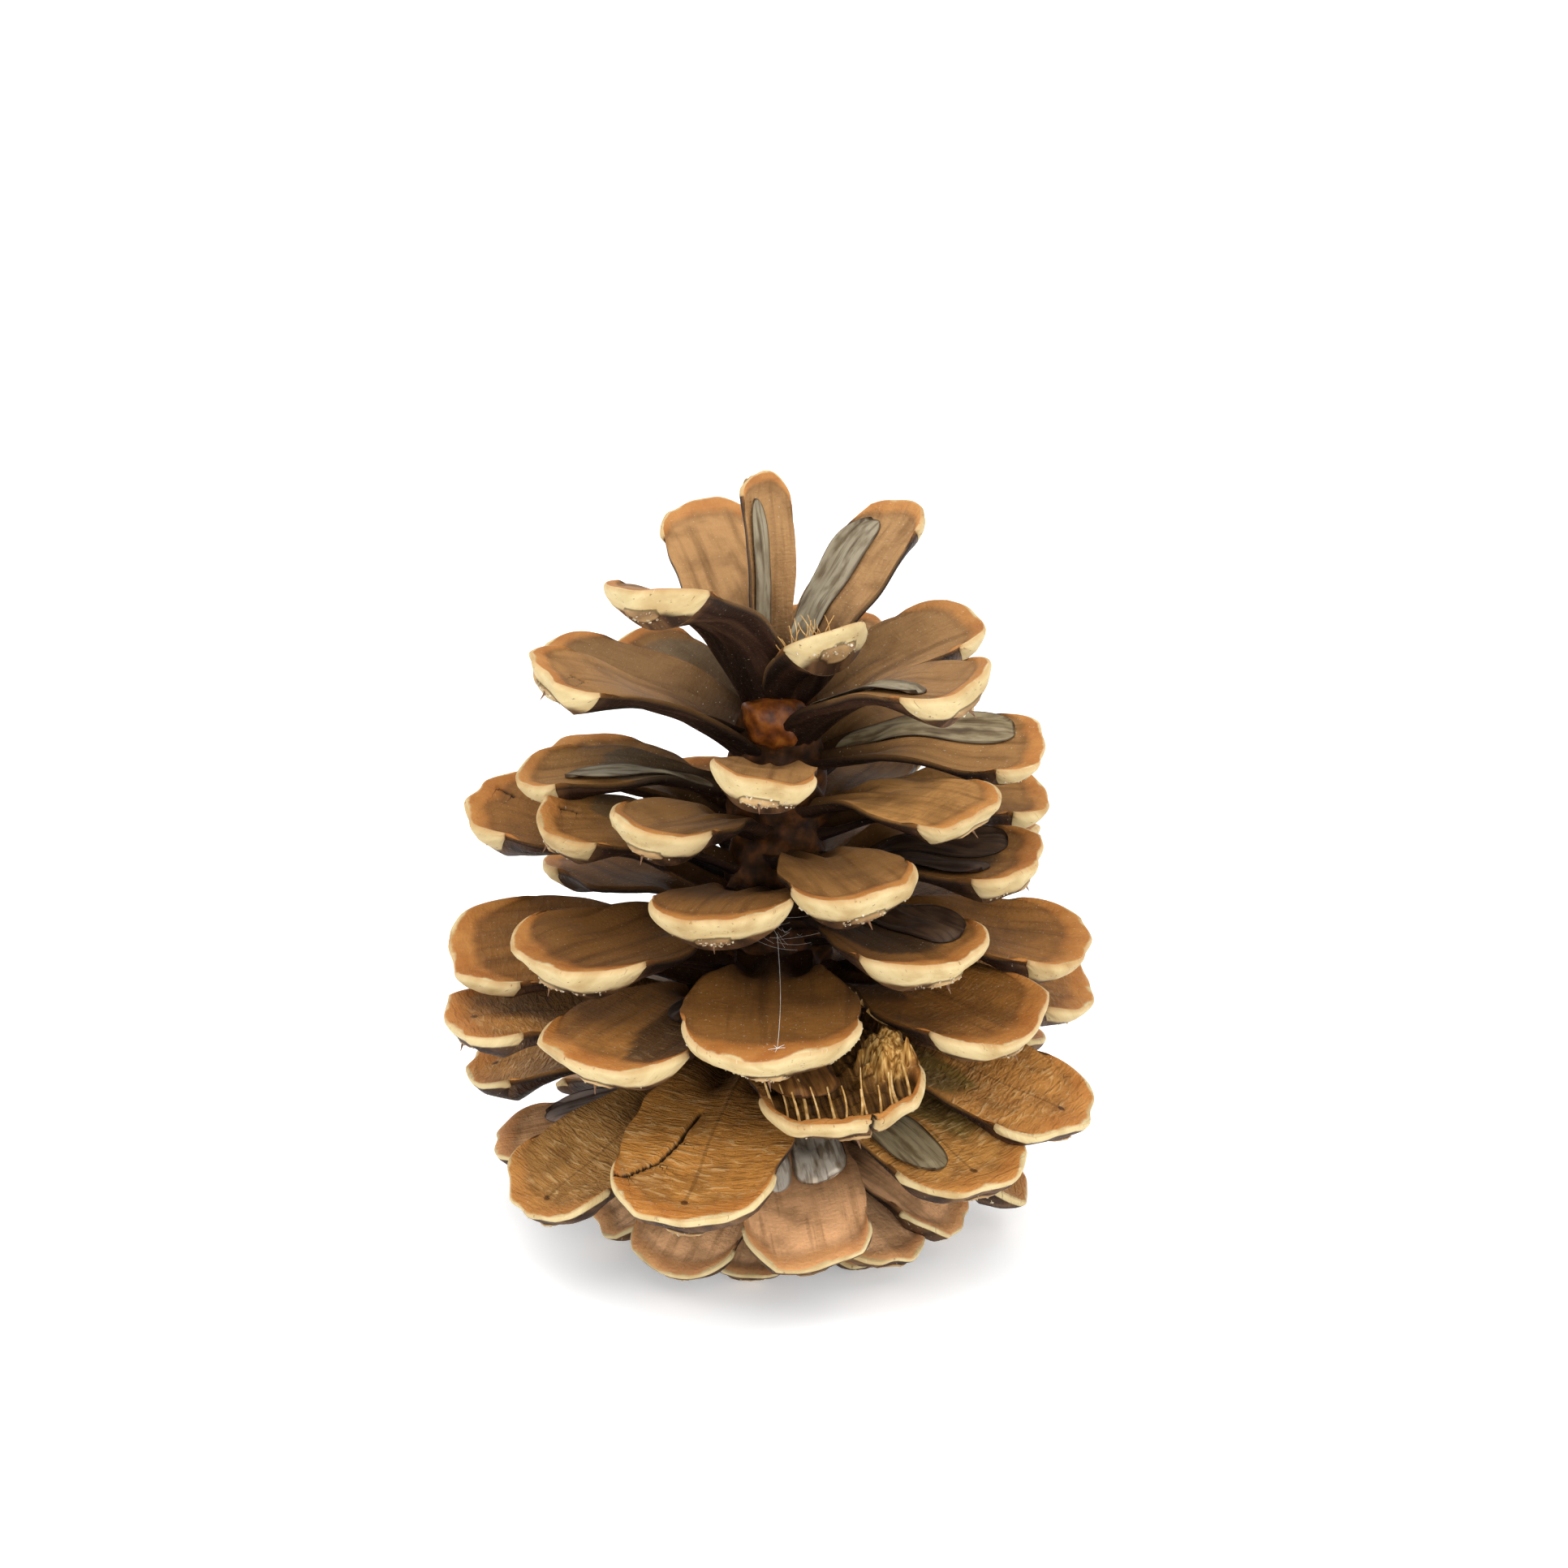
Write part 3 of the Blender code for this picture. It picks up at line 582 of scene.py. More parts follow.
        where = addNode(tree, "ShaderNodeMapRange", {0: field[value], 1: start, 2: end, 4: most},
                        interpolation_type="SMOOTHSTEP")
        paint[coat] = addNode(tree, "ShaderNodeMix", {0: where, 6: paint[coat], 7: paint.get(colour, colour)},
                              data_type="RGBA")
    tree.links.new(paint["face"].outputs[2], shader.inputs["Base Color"])
    (upside, downside), (face, end) = look["roughness"], look["bump"]
    dull = addNode(tree, "ShaderNodeMapRange", {0: field["under"], 3: upside, 4: downside})
    tree.links.new(dull.outputs[0], shader.inputs["Roughness"])
    raised = addNode(tree, "ShaderNodeMath", {0: field["wrinkles"], 1: field["rough"]}, operation="MULTIPLY")
    for name, height in look["raised"].items():   # relief from the same patterns
        raised = addNode(tree, "ShaderNodeMath", {0: field[name], 1: height, 2: raised},
                         operation="MULTIPLY_ADD")
    strength = addNode(tree, "ShaderNodeMapRange", {0: field["cap"], 3: face, 4: end})
    bump = addNode(tree, "ShaderNodeBump", {"Height": raised, "Strength": strength,
                                            "Distance": look["relief"] * mm})
    tree.links.new(bump.outputs[0], shader.inputs["Normal"])
    return material


# The wings' film: patterns in turns per mm as above, and what darkens it, cloudy, banded, veined and at its
# edge.
filmLook = {
    "patterns": {"veins": (3.4, 0.2, 1), "spots": (0.6, 0.3, 1), "bands": (1.3, 0.3, 1)}, "detail": 4.0,
    "darker": (("spots", 0.44, 0.66, 0.5, "#c2b196"), ("bands", 0.48, 0.62, 0.8, "#a08c70"),
               ("veins", 0.52, 0.64, 0.6, "#8a7253"), ("edge", 0.22, 0.08, 0.8, "#7a5f40")),
    "roughness": 0.62, "gloss": 0.3, "bump": 0.5, "relief": 0.1,
}


def driedSeedWing():                        # a seed's papery wing: matt film with dark lengthwise veins
    look = filmLook
    material, tree, shader = newMaterial("driedSeedWing", look["roughness"], look["gloss"])
    grain, zone, film = (addNode(tree, "ShaderNodeAttribute", attribute_name=name).outputs["Color"]
                         for name in ("grain", "zone", "tint"))
    field = {"edge": addNode(tree, "ShaderNodeSeparateXYZ", {0: zone}).outputs[1]}
    for name, scale in look["patterns"].items():
        places = addNode(tree, "ShaderNodeVectorMath", {0: grain, 1: scale}, operation="MULTIPLY")
        field[name] = addNode(tree, "ShaderNodeTexNoise", {"Vector": places, "Scale": 1.0,
                                                           "Detail": look["detail"]})
    for name, low, high, most, colour in look["darker"]:
        share = addNode(tree, "ShaderNodeMapRange", {0: field[name], 1: low, 2: high, 4: most})
        film = addNode(tree, "ShaderNodeMix", {0: share, 6: film, 7: colour}, data_type="RGBA",
                       blend_type="MULTIPLY")
    tree.links.new(film.outputs[2], shader.inputs["Base Color"])
    bump = addNode(tree, "ShaderNodeBump", {"Height": field["veins"], "Strength": look["bump"],
                                            "Distance": look["relief"] * mm})
    tree.links.new(bump.outputs[0], shader.inputs["Normal"])
    return material


# Other natural finishes: roughness, specular level, spots to the mm, relief in mm, colours.
finishes = {
    # bark: rusty and dull
    "axisBark": (0.62, 0.12, 0.9, 0.2, ((0.3, "#1c1008"), (0.5, "#38200d"), (0.7, "#5a3415"))),
    # wood soaked with resin: glazed and reddish
    "resinousKnob": (0.46, 0.3, 0.9, 0.2, ((0.3, "#331706"), (0.5, "#6c370d"), (0.7, "#955820"))),
    # dried resin: a brittle, whitish crust
    "driedResin": (0.6, 0.2, 2.5, 0.1, ((0.35, "#8a775c"), (0.55, "#b8aa8f"), (0.7, "#dcd3c0"))),
    # torn wood fibre: matt pale gold
    "tornFibre": (0.75, 0.2, 2.0, 0.1, ((0.3, "#9a7239"), (0.5, "#c0965a"), (0.7, "#dab982"))),
    # a thorn's wood: dry brown
    "prickleWood": (0.6, 0.2, 3.0, 0.1, ((0.3, "#4a3220"), (0.7, "#86654a"))),
    # spider silk: a nearly white thread
    "spiderSilk": (0.4, 0.3, 1.0, 0.0, ((0.3, "#cdc8be"), (0.7, "#efede8"))),
}


def mottled(name):                          # a finish from the table, spotted in Object coordinates
    roughness, gloss, perMm, relief, stops = finishes[name]
    material, tree, shader = newMaterial(name, roughness, gloss)
    places = addNode(tree, "ShaderNodeTexCoord").outputs["Object"]
    spots = addNode(tree, "ShaderNodeTexNoise", {"Vector": places, "Scale": perMm / mm, "Detail": 4.0})
    colour = addNode(tree, "ShaderNodeValToRGB", {0: spots}, stops=stops)
    bump = addNode(tree, "ShaderNodeBump", {"Height": spots, "Strength": 0.6, "Distance": relief * mm})
    tree.links.new(colour.outputs[0], shader.inputs["Base Color"])
    tree.links.new(bump.outputs[0], shader.inputs["Normal"])
    return material


scaleWood, wingFilm = pineScaleWood(), driedSeedWing()
natural = {name: mottled(name) for name in finishes}
print("finishes made:", 2 + len(natural))


def newTree(name, inputs):                  # a node tree with named inputs, and the keys that set them
    tree = bpy.data.node_groups.new(name, "GeometryNodeTree")
    keys = {}
    for label, kind, *value in inputs:
        socket = tree.interface.new_socket(label, in_out="INPUT", socket_type="NodeSocket" + kind)
        if value:
            socket.default_value = value[0]
        keys[label] = socket.identifier
    tree.interface.new_socket("Geometry", in_out="OUTPUT", socket_type="NodeSocketGeometry")
    return tree, addNode(tree, "NodeGroupInput").outputs, keys


def spiralNodes():                          # sets the moulds round the axis and wears their lowest tips flat
    tree, given, keys = newTree("scaleSpiral", (
        ("Points", "Geometry"), ("Moulds", "Collection"), ("Ground", "Float", 0.0), ("Wood", "Material"),
        ("First turn", "Float", math.radians(spiral["firstTurn"])),
        ("Turn per scale", "Float", math.radians(spiral["turnPerScale"]))))
    moulds = addNode(tree, "GeometryNodeCollectionInfo", {"Collection": given["Moulds"],
                                                          "Separate Children": True, "Reset Children": True})
    rank, lean = (addNode(tree, "GeometryNodeInputNamedAttribute", {"Name": name}, data_type="FLOAT").outputs[0]
                  for name in ("rank", "lean"))
    turn = addNode(tree, "ShaderNodeMath", {0: rank, 1: given["Turn per scale"], 2: lean},
                   operation="MULTIPLY_ADD")
    turn = addNode(tree, "ShaderNodeMath", {0: turn, 1: given["First turn"]}, operation="ADD")
    turn = addNode(tree, "ShaderNodeCombineXYZ", {"Z": turn})
    placed = addNode(tree, "GeometryNodeInstanceOnPoints",
                     {"Points": given["Points"], "Instance": moulds, "Pick Instance": True,
                      "Instance Index": rank, "Rotation": turn})
    real = addNode(tree, "GeometryNodeRealizeInstances", {"Geometry": placed})
    here = addNode(tree, "ShaderNodeSeparateXYZ", {0: addNode(tree, "GeometryNodeInputPosition")}).outputs
    height = addNode(tree, "ShaderNodeMath", {0: here["Z"], 1: given["Ground"]}, operation="MAXIMUM")
    here = addNode(tree, "ShaderNodeCombineXYZ", {"X": here["X"], "Y": here["Y"], "Z": height})
    flat = addNode(tree, "GeometryNodeSetPosition", {"Geometry": real, "Position": here})
    done = addNode(tree, "GeometryNodeSetMaterial", {"Geometry": flat, "Material": given["Wood"]})
    addNode(tree, "NodeGroupOutput", {0: done})
    return tree, keys


def fromNodes(name, mesh, tree, keys, values):   # runs a tree on a mesh and keeps the result as a plain mesh
    holder = bpy.data.objects.new(name + "_points", mesh)
    scene.collection.objects.link(holder)
    modifier = holder.modifiers.new("nodes", "NODES")
    modifier.node_group = tree
    for label, value in values.items():
        modifier[keys[label]] = value
    depsgraph = bpy.context.evaluated_depsgraph_get()
    result = bpy.data.meshes.new_from_object(holder.evaluated_get(depsgraph), preserve_all_data_layers=True,
                                             depsgraph=depsgraph)
    bpy.data.objects.remove(holder)
    result.name = name
    return addPiece(name, result)


def addPiece(name, mesh, material=None):    # a piece of the cone, which is one body
    piece = bpy.data.objects.new(name, mesh)
    scene.collection.objects.link(piece)
    if material:
        mesh.materials.append(material)
    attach(piece, "root")
    return piece


tiers = {"scales_crown": (0, 18), "scales_upper": (18, 36), "scales_middle": (36, 54), "scales_foot": (54, 72)}
mouldShelf = bpy.data.collections.new("scaleMoulds")
scales = []
for number in range(spiral["count"]):
    mesh, scale = scaleMould(number)
    mouldShelf.objects.link(bpy.data.objects.new(f"mould_{number:02d}", mesh))
    scales.append(scale)
print("scale moulds made:", len(scales))
spiralTree, spiralKeys = spiralNodes()
scalePieces = []
for name, (start, end) in tiers.items():
    spots = bpy.data.meshes.new(name + "_spots")
    spots.from_pydata([(0, spiral["shiftY"] * mm, (scale.rootHeight - spiral["settling"]) * mm)
                       for scale in scales[start:end]], [], [])
    for label, values in (("rank", [float(scale.number) for scale in scales[start:end]]),
                          ("lean", [scale.lean for scale in scales[start:end]])):
        spots.attributes.new(label, "FLOAT", "POINT").data.foreach_set("value", values)
    piece = fromNodes(name, spots, spiralTree, spiralKeys, {"Moulds": mouldShelf, "Wood": scaleWood})
    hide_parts("cone")
    scalePieces.append(piece)
    print("scales set:", name, len(piece.data.polygons), "faces")
for mould in list(mouldShelf.objects):
    bpy.data.objects.remove(mould)
bpy.data.collections.remove(mouldShelf)

# The woody axis: its outline from the tip down as radius and height in mm, with the stalk's scar at the
# bottom. The knob is the round stub at the crown's front, where a small scale fell off.
axis = {
    "profile": ((0.0, 50.5), (1.3, 50.1), (2.2, 48.9), (2.9, 47.0), (3.9, 42.0), (4.0, 33.0), (4.3, 20.0),
                (4.2, 10.0), (3.6, 6.2), (3.0, 4.3), (2.5, 3.7), (2.1, 3.5), (1.6, 4.2), (0.8, 4.5),
                (0.0, 4.5)),
    "rings": 150, "sides": 64, "ruggedness": 0.35, "barkLength": 2.6, "seed": 71,
}
knob = {"place": (-0.2, -2.7, 44.6), "radii": (2.7, 1.9, 2.2), "lumps": 0.10, "lumpLength": 2.2, "seed": 5,
        "rings": 25, "sides": 48}


def closedRings(rings, sides):              # faces over a stack of rings that rises, with a point at each end
    last, low, high = (rings - 1) * sides, rings * sides, rings * sides + 1
    faces = gridFaces(rings, sides, 0, True)
    faces += [(low, (c + 1) % sides, c) for c in range(sides)]
    faces += [(high, last + c, last + (c + 1) % sides) for c in range(sides)]
    return faces


def axisMesh():
    radii, heights = zip(*axis["profile"])
    steps = np.concatenate([[0], np.cumsum(np.hypot(np.diff(radii), np.diff(heights)))])
    along = np.linspace(0, steps[-1], axis["rings"])
    radius, height = np.interp(along, steps, radii), np.interp(along, steps, heights) - spiral["settling"]
    turns = np.linspace(0, math.tau, axis["sides"], endpoint=False)
    bark = Waves(axis["seed"], axis["barkLength"], 12)
    rows = []
    for r, h in zip(radius[1:-1], height[1:-1]):
        lift = h + spiral["settling"]
        lumps = bark(4 * np.cos(turns) + lift * 0.3, 4 * np.sin(turns) + lift * 0.9)
        rough = r * (1 + axis["ruggedness"] / 4 * lumps)
        rows.append(np.stack([rough * np.cos(turns), rough * np.sin(turns) + spiral["shiftY"],
                              np.full_like(turns, h)], -1))
    points = np.concatenate(rows + [[(0, spiral["shiftY"], height[0]), (0, spiral["shiftY"], height[-1])]])
    return meshFrom("axis", points * mm, [face[::-1] for face in closedRings(len(rows), axis["sides"])])


def knobMesh():
    turns = np.linspace(0, math.tau, knob["sides"], endpoint=False)
    rises = np.linspace(-math.pi / 2, math.pi / 2, knob["rings"] + 2)[1:-1]
    lumps = Waves(knob["seed"], knob["lumpLength"], 9)
    rise, turn = np.meshgrid(rises, turns, indexing="ij")
    away = np.stack([np.cos(rise) * np.cos(turn), np.cos(rise) * np.sin(turn), np.sin(rise)], -1)
    away = np.concatenate([away.reshape(-1, 3), [(0, 0, -1), (0, 0, 1)]])
    swell = 1 + knob["lumps"] * lumps(away[:, 0] * 3 + away[:, 1], away[:, 2] * 3)
    points = np.array(knob["place"]) + away * np.array(knob["radii"]) * swell[:, None]
    return meshFrom("knob", points * mm, closedRings(knob["rings"], knob["sides"]))


for name, mesh, finish in (("cone_axis", axisMesh(), "axisBark"), ("axis_knob", knobMesh(), "resinousKnob")):
    piece = addPiece(name, mesh, natural[finish])
    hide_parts("cone")
print("axis made")

# Where each wing lies: its scale, its side (1 towards the next scale's turn), where along the scale it starts
# and ends, how far it reaches to the side in degrees, and its tone. tornSkin is no wing, but the thin skin
# left over one side of the broken scale's pit, and it is made in the same way.
wings = {
    "tip": (1, 1, 0.12, 0.90, 62, "grey"), "crown": (0, 1, 0.10, 0.90, 70, "grey"),
    "crown_front": (7, -1, 0.25, 0.84, 60, "grey"), "right_high": (10, 1, 0.14, 0.90, 70, "striped"),
    "back_left": (11, 1, 0.14, 0.90, 68, "striped"), "left_high": (14, 1, 0.16, 0.80, 66, "grey"),
    "right_far": (23, 1, 0.16, 0.86, 64, "dark"), "right_near": (23, -1, 0.16, 0.84, 60, "dark"),
    "front_right": (28, 1, 0.16, 0.88, 66, "dark"), "front_left": (38, 1, 0.16, 0.60, 62, "dark"),
    "low_right": (49, -1, 0.20, 0.86, 62, "striped"), "low_left": (56, -1, 0.20, 0.80, 66, "purple"),
    "foot_left": (54, -1, 0.16, 0.60, 72, "pale"), "foot_right": (54, 1, 0.16, 0.58, 72, "pale"),
    "foot_corner": (62, -1, 0.16, 0.54, 70, "pale"),
}
tornSkin = (torn["scale"], -1, 0.42, 0.84, 60, "skin")
wingTones = {"grey": "#8a806a", "striped": "#85775a", "dark": "#44301f", "purple": "#a8948a",
             "pale": "#fdf0dc", "skin": "#8f6230"}
wingForm = {
    "clear": 0.07, "thin": 0.07, "ripple": 0.04, "curl": 0.3, "fold": 0.18, "waves": (3.0, 4.0, 1.3),
    "widens": 0.3, "rounds": 0.78, "roundness": 2.4, "least": 0.002, "seat": (26, 30), "inner": 3,
    "edgeWaves": (1.5, 3), "stations": 56, "columns": 21,
}


def wingMesh(name, number, side, start, end, wide, tone):
    scale, form = scales[number], wingForm
    ripple, edgeWave, fold = (Waves(number * 5 + side + k, length)
                              for k, length in zip((0, 2, 4), form["waves"]))
    steps = 0.5 - 0.5 * np.cos(np.linspace(0, math.pi, form["stations"]))
    step, column = np.meshgrid(steps, np.linspace(0, 1, form["columns"]), indexing="ij")
    blunt = (np.clip(step - form["rounds"], 0, 1) / (1 - form["rounds"])) ** form["roundness"]
    swell = np.sqrt(np.clip(1 - blunt, form["least"], 1))
    slim = (1 - np.clip(step / form["widens"], 0, 1)) ** 2
    swell = swell * np.sqrt(np.clip(1 - slim, form["least"], 1))
    (lowSeat, highSeat), (lowWaves, highWaves) = form["seat"], form["edgeWaves"]
    low = lowSeat - (lowSeat - form["inner"]) * swell + lowWaves * edgeWave(step * 9, 7.0)
    high = highSeat + (wide - highSeat + highWaves * edgeWave(step * 9, 0)) * swell
    angle = np.radians(side * (low + (high - low) * column))
    share = start + (end - start) * step
    across, out, above, _ = scale.upper(share, angle)
    edge = np.minimum(np.minimum(column, 1 - column) * 4, np.minimum(step, 1 - step) * 14)
    lift = form["clear"] + form["ripple"] * (1 + ripple(across, out * 0.6))
    lift = lift + form["fold"] * (1 + fold(across, out * 0.1)) * smooth(0, 1, edge)
    lift = lift + form["curl"] * smooth(0.72, 1, column) ** 2 * smooth(0.3, 0.9, step)
    places = [scale.place(across, out, above + lift + raised) for raised in (form["thin"], 0.0)]
    points = np.concatenate([scale.world(place).reshape(-1, 3) for place in places])
    tint = linear(wingTones[tone])[:3]
    grain, zone, tint = np.tile(fieldRows(step.shape, (across, out, number), (step, edge, column), tint)
                                .reshape(3, -1, 3), (1, 2, 1))
    rows, cols = step.shape
    layer = rows * cols
    ring = [r * cols for r in range(rows)] + [(rows - 1) * cols + c for c in range(1, cols)]
    ring += [r * cols + cols - 1 for r in range(rows - 2, -1, -1)] + [c for c in range(cols - 2, 0, -1)]
    faces = gridFaces(rows, cols) + [face[::-1] for face in gridFaces(rows, cols, layer)]
    faces += [(b, b + layer, a + layer, a) for a, b in zip(ring, ring[1:] + ring[:1])]
    if side > 0:
        faces = [face[::-1] for face in faces]
    return meshFrom(name, points * mm, faces, {"grain": grain, "zone": zone, "tint": tint})


for place, values in wings.items():
    name = "seed_wing_" + place
    wing = addPiece(name + "_film", wingMesh(name, *values), wingFilm)
    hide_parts(name)
skinPiece = addPiece("torn_skin", wingMesh("torn_skin", *tornSkin), wingFilm)
print("seed wings laid:", len(wings))

# Small things: resin crumbs on the thick ends, prickles on the bosses, torn fibres, and a few cobweb threads.
# Sizes in mm, crumbs to the square mm, places in shares of a scale's length and degrees to its side.
crumbs = {"most": 8.0, "smallest": 0.03, "largest": 0.18, "seed": 4}
prickles = {"first": 6, "last": 44, "length": 0.7, "radius": 0.13, "root": 0.1, "lean": (0.15, 0.3)}
strands = {"count": 13, "radius": 0.16, "seed": 3, "from": -58, "spread": 104, "root": 0.93, "rootDepth": 1.3,
           "tips": (0.76, 0.86), "heights": (0.1, 1.2), "bend": 0.25, "waver": 0.3}
tufts = {"scale": 2, "count": 22, "radius": 0.055, "length": (1.2, 2.8), "seed": 8, "root": (0.75, 0.92),
         "side": (-55, 5), "away": ((-0.7, 0.5), (-0.5, 0.4), (0.5, 1.0)), "bend": 0.3}
shards = {"scale": 36, "count": 5, "radius": 0.3, "length": (2.0, 3.6), "seed": 6, "root": 0.38, "apart": 0.06,
          "side": -86, "away": ((0.2, 1), (-1.0, -0.5), (-0.5, 0.1))}
web = {"scale": 33, "threads": 20, "radius": 0.009, "lineRadius": 0.022, "rays": 5, "seed": 2,
       "knot": (0.22, 4, 2.4), "tangle": (1.8, 0.8, 0.7), "star": (0.945, 6, 0.05), "rayLength": (0.024, 6),
       "rayTurn": 1.26}


def crumbNodes():                           # strews crumbs where the attribute "crust" is high
    tree, given, keys = newTree("resinCrumbs", (
        ("Ends", "Geometry"), ("Crumbs per square metre", "Float", 1e6), ("Smallest", "Float", mm),
        ("Largest", "Float", mm), ("Seed", "Int", 1), ("Resin", "Material")))
    crust = addNode(tree, "GeometryNodeInputNamedAttribute", {"Name": "crust"}, data_type="FLOAT_VECTOR")
    crust = addNode(tree, "ShaderNodeSeparateXYZ", {0: crust.outputs[0]}).outputs[0]
    density = addNode(tree, "ShaderNodeMath", {0: crust, 1: given["Crumbs per square metre"]},
                      operation="MULTIPLY")
    spots = addNode(tree, "GeometryNodeDistributePointsOnFaces",
                    {"Mesh": given["Ends"], "Density": density, "Seed": given["Seed"]})
    low, high = (addNode(tree, "ShaderNodeCombineXYZ", {k: given[name] for k in range(3)})
                 for name in ("Smallest", "Largest"))
    size, turn = (addNode(tree, "FunctionNodeRandomValue", {0: least, 1: most, "Seed": given["Seed"]},
                          data_type="FLOAT_VECTOR")
                  for least, most in ((low, high), ((0, 0, 0), (6.28, 6.28, 6.28))))
    crumb = addNode(tree, "GeometryNodeMeshIcoSphere", {"Radius": 1.0, "Subdivisions": 1}).outputs["Mesh"]
    placed = addNode(tree, "GeometryNodeInstanceOnPoints",
                     {"Points": spots.outputs["Points"], "Instance": crumb, "Rotation": turn, "Scale": size})
    real = addNode(tree, "GeometryNodeRealizeInstances", {"Geometry": placed})
    done = addNode(tree, "GeometryNodeSetMaterial", {"Geometry": real, "Material": given["Resin"]})
    addNode(tree, "NodeGroupOutput", {0: done})
    return tree, keys


def threadNodes():                          # runs a round thread along each line, as thick as "thick" says
    tree, given, keys = newTree("threads", (("Lines", "Geometry"), ("Sides", "Int", 6), ("Finish", "Material")))
    lines = addNode(tree, "GeometryNodeMeshToCurve", {"Mesh": given["Lines"]})
    thick = addNode(tree, "GeometryNodeInputNamedAttribute", {"Name": "thick"}, data_type="FLOAT").outputs[0]
    outline = addNode(tree, "GeometryNodeCurvePrimitiveCircle", {"Resolution": given["Sides"], "Radius": 1.0})
    tubes = addNode(tree, "GeometryNodeCurveToMesh", {"Curve": lines, "Profile Curve": outline, "Scale": thick,
                                                      "Fill Caps": True})
    real = addNode(tree, "GeometryNodeRealizeInstances", {"Geometry": tubes})
    done = addNode(tree, "GeometryNodeSetMaterial", {"Geometry": real, "Material": given["Finish"]})
    addNode(tree, "NodeGroupOutput", {0: done})
    return tree, keys


def linesMesh(name, lines):                 # each line is a list of (place, radius) in mm
    points = [place for line in lines for place, _ in line]
    starts = np.cumsum([0] + [len(line) for line in lines])
    edges = [(k, k + 1) for a, b in zip(starts, starts[1:]) for k in range(a, b - 1)]
    mesh = bpy.data.meshes.new(name)
    mesh.from_pydata([tuple(float(c) * mm for c in place) for place in points], edges, [])
    mesh.attributes.new("thick", "FLOAT", "POINT").data.foreach_set(
        "value", [radius * mm for line in lines for _, radius in line])
    return mesh


def onFace(scale, share, degrees, lift=0.0):   # a place on a scale's inner face, or above it
    across, out, above, _ = scale.upper(np.array(share), np.array(math.radians(degrees)))
    return scale.world(scale.place(across, out, above + lift))


def tapered(start, end, radius, sag, tip=0.15, steps=7):   # a bent line that thins towards its end
    start, end = np.array(start), np.array(end)
    return [(start + (end - start) * t + np.array(sag) * math.sin(math.pi * t), radius * (1 - (1 - tip) * t))
            for t in np.linspace(0, 1, steps)]


def prickleLines():
    lines = []
    for scale in scales[prickles["first"]:prickles["last"]]:
        across, out, above, _, _ = scale.cap(np.array(scaleForm["umboPlace"]), np.array(0.0))
        aside, outward = prickles["lean"]
        start = scale.world(scale.place(across, out - prickles["root"], above))
        end = scale.world(scale.place(across + aside, out + outward, above - prickles["length"]))
        lines.append(tapered(start, end, prickles["radius"], (0, 0, 0)))
    return lines


def strandLines():                          # upright fibres behind the broken scale's rim
    draw, scale, lines = random.Random(strands["seed"]), scales[torn["scale"]], []
    for k in range(strands["count"]):
        between = (k + draw.uniform(-strands["waver"], strands["waver"])) / (strands["count"] - 1)
        degrees = strands["from"] + strands["spread"] * between
        start = onFace(scale, strands["root"], degrees, -strands["rootDepth"])
        end = onFace(scale, draw.uniform(*strands["tips"]), degrees + draw.uniform(-5, 5),
                     draw.uniform(*strands["heights"]))
        bend = [draw.uniform(-strands["bend"], strands["bend"]) for _ in range(3)]
        lines.append(tapered(start, end, strands["radius"] * draw.uniform(0.6, 1.2), bend, 0.5))
    draw = random.Random(shards["seed"])
    for k in range(shards["count"]):        # long splinters from the next scale's torn edge
        start = onFace(scales[shards["scale"]], shards["root"] + shards["apart"] * k, shards["side"], -0.4)
        length = draw.uniform(*shards["length"])
        away = np.array([draw.uniform(*span) for span in shards["away"]])
        end = start + length * away
        lines.append(tapered(start, end, shards["radius"], (0, 0, -0.2), 0.06))
    draw = random.Random(tufts["seed"])
    for _ in range(tufts["count"]):         # a tuft of fine fibres at the crown
        share, degrees = draw.uniform(*tufts["root"]), draw.uniform(*tufts["side"])
        start = onFace(scales[tufts["scale"]], share, degrees, -0.1)
        away = np.array([draw.uniform(*span) for span in tufts["away"]])
        end = start + away * draw.uniform(*tufts["length"])
        bend = [draw.uniform(-tufts["bend"], tufts["bend"]) for _ in range(3)]
        lines.append(tapered(start, end, tufts["radius"], bend, 0.5))
    return lines


def webLines():                             # a tangle in a gap, and a thread to a small star on the scale
    draw, scale, lines = random.Random(web["seed"]), scales[web["scale"]], []
    knot, star = onFace(scale, *web["knot"]), onFace(scale, *web["star"])
    lines.append(tapered(knot, star, web["lineRadius"], (0.25, 0, -0.5), 0.8, 12))
    share, degrees, height = web["star"]
    along, aside = web["rayLength"]
    for k in range(web["rays"]):
        turn = web["rayTurn"] * k + 0.5
        end = onFace(scale, share + along * math.sin(turn), degrees + aside * math.cos(turn), height + 0.01)
        lines.append(tapered(star, end, web["lineRadius"] * 1.2, (0, 0, 0.02), 0.5))
    wide, deep, high = web["tangle"]
    for _ in range(web["threads"]):
        ends = [knot + np.array([draw.gauss(0, wide), draw.gauss(0, deep), draw.gauss(0.3, high)])
                for _ in range(2)]
        lines.append(tapered(*ends, web["radius"], (0, 0, draw.uniform(-0.3, 0)), 0.9, 6))
    return lines


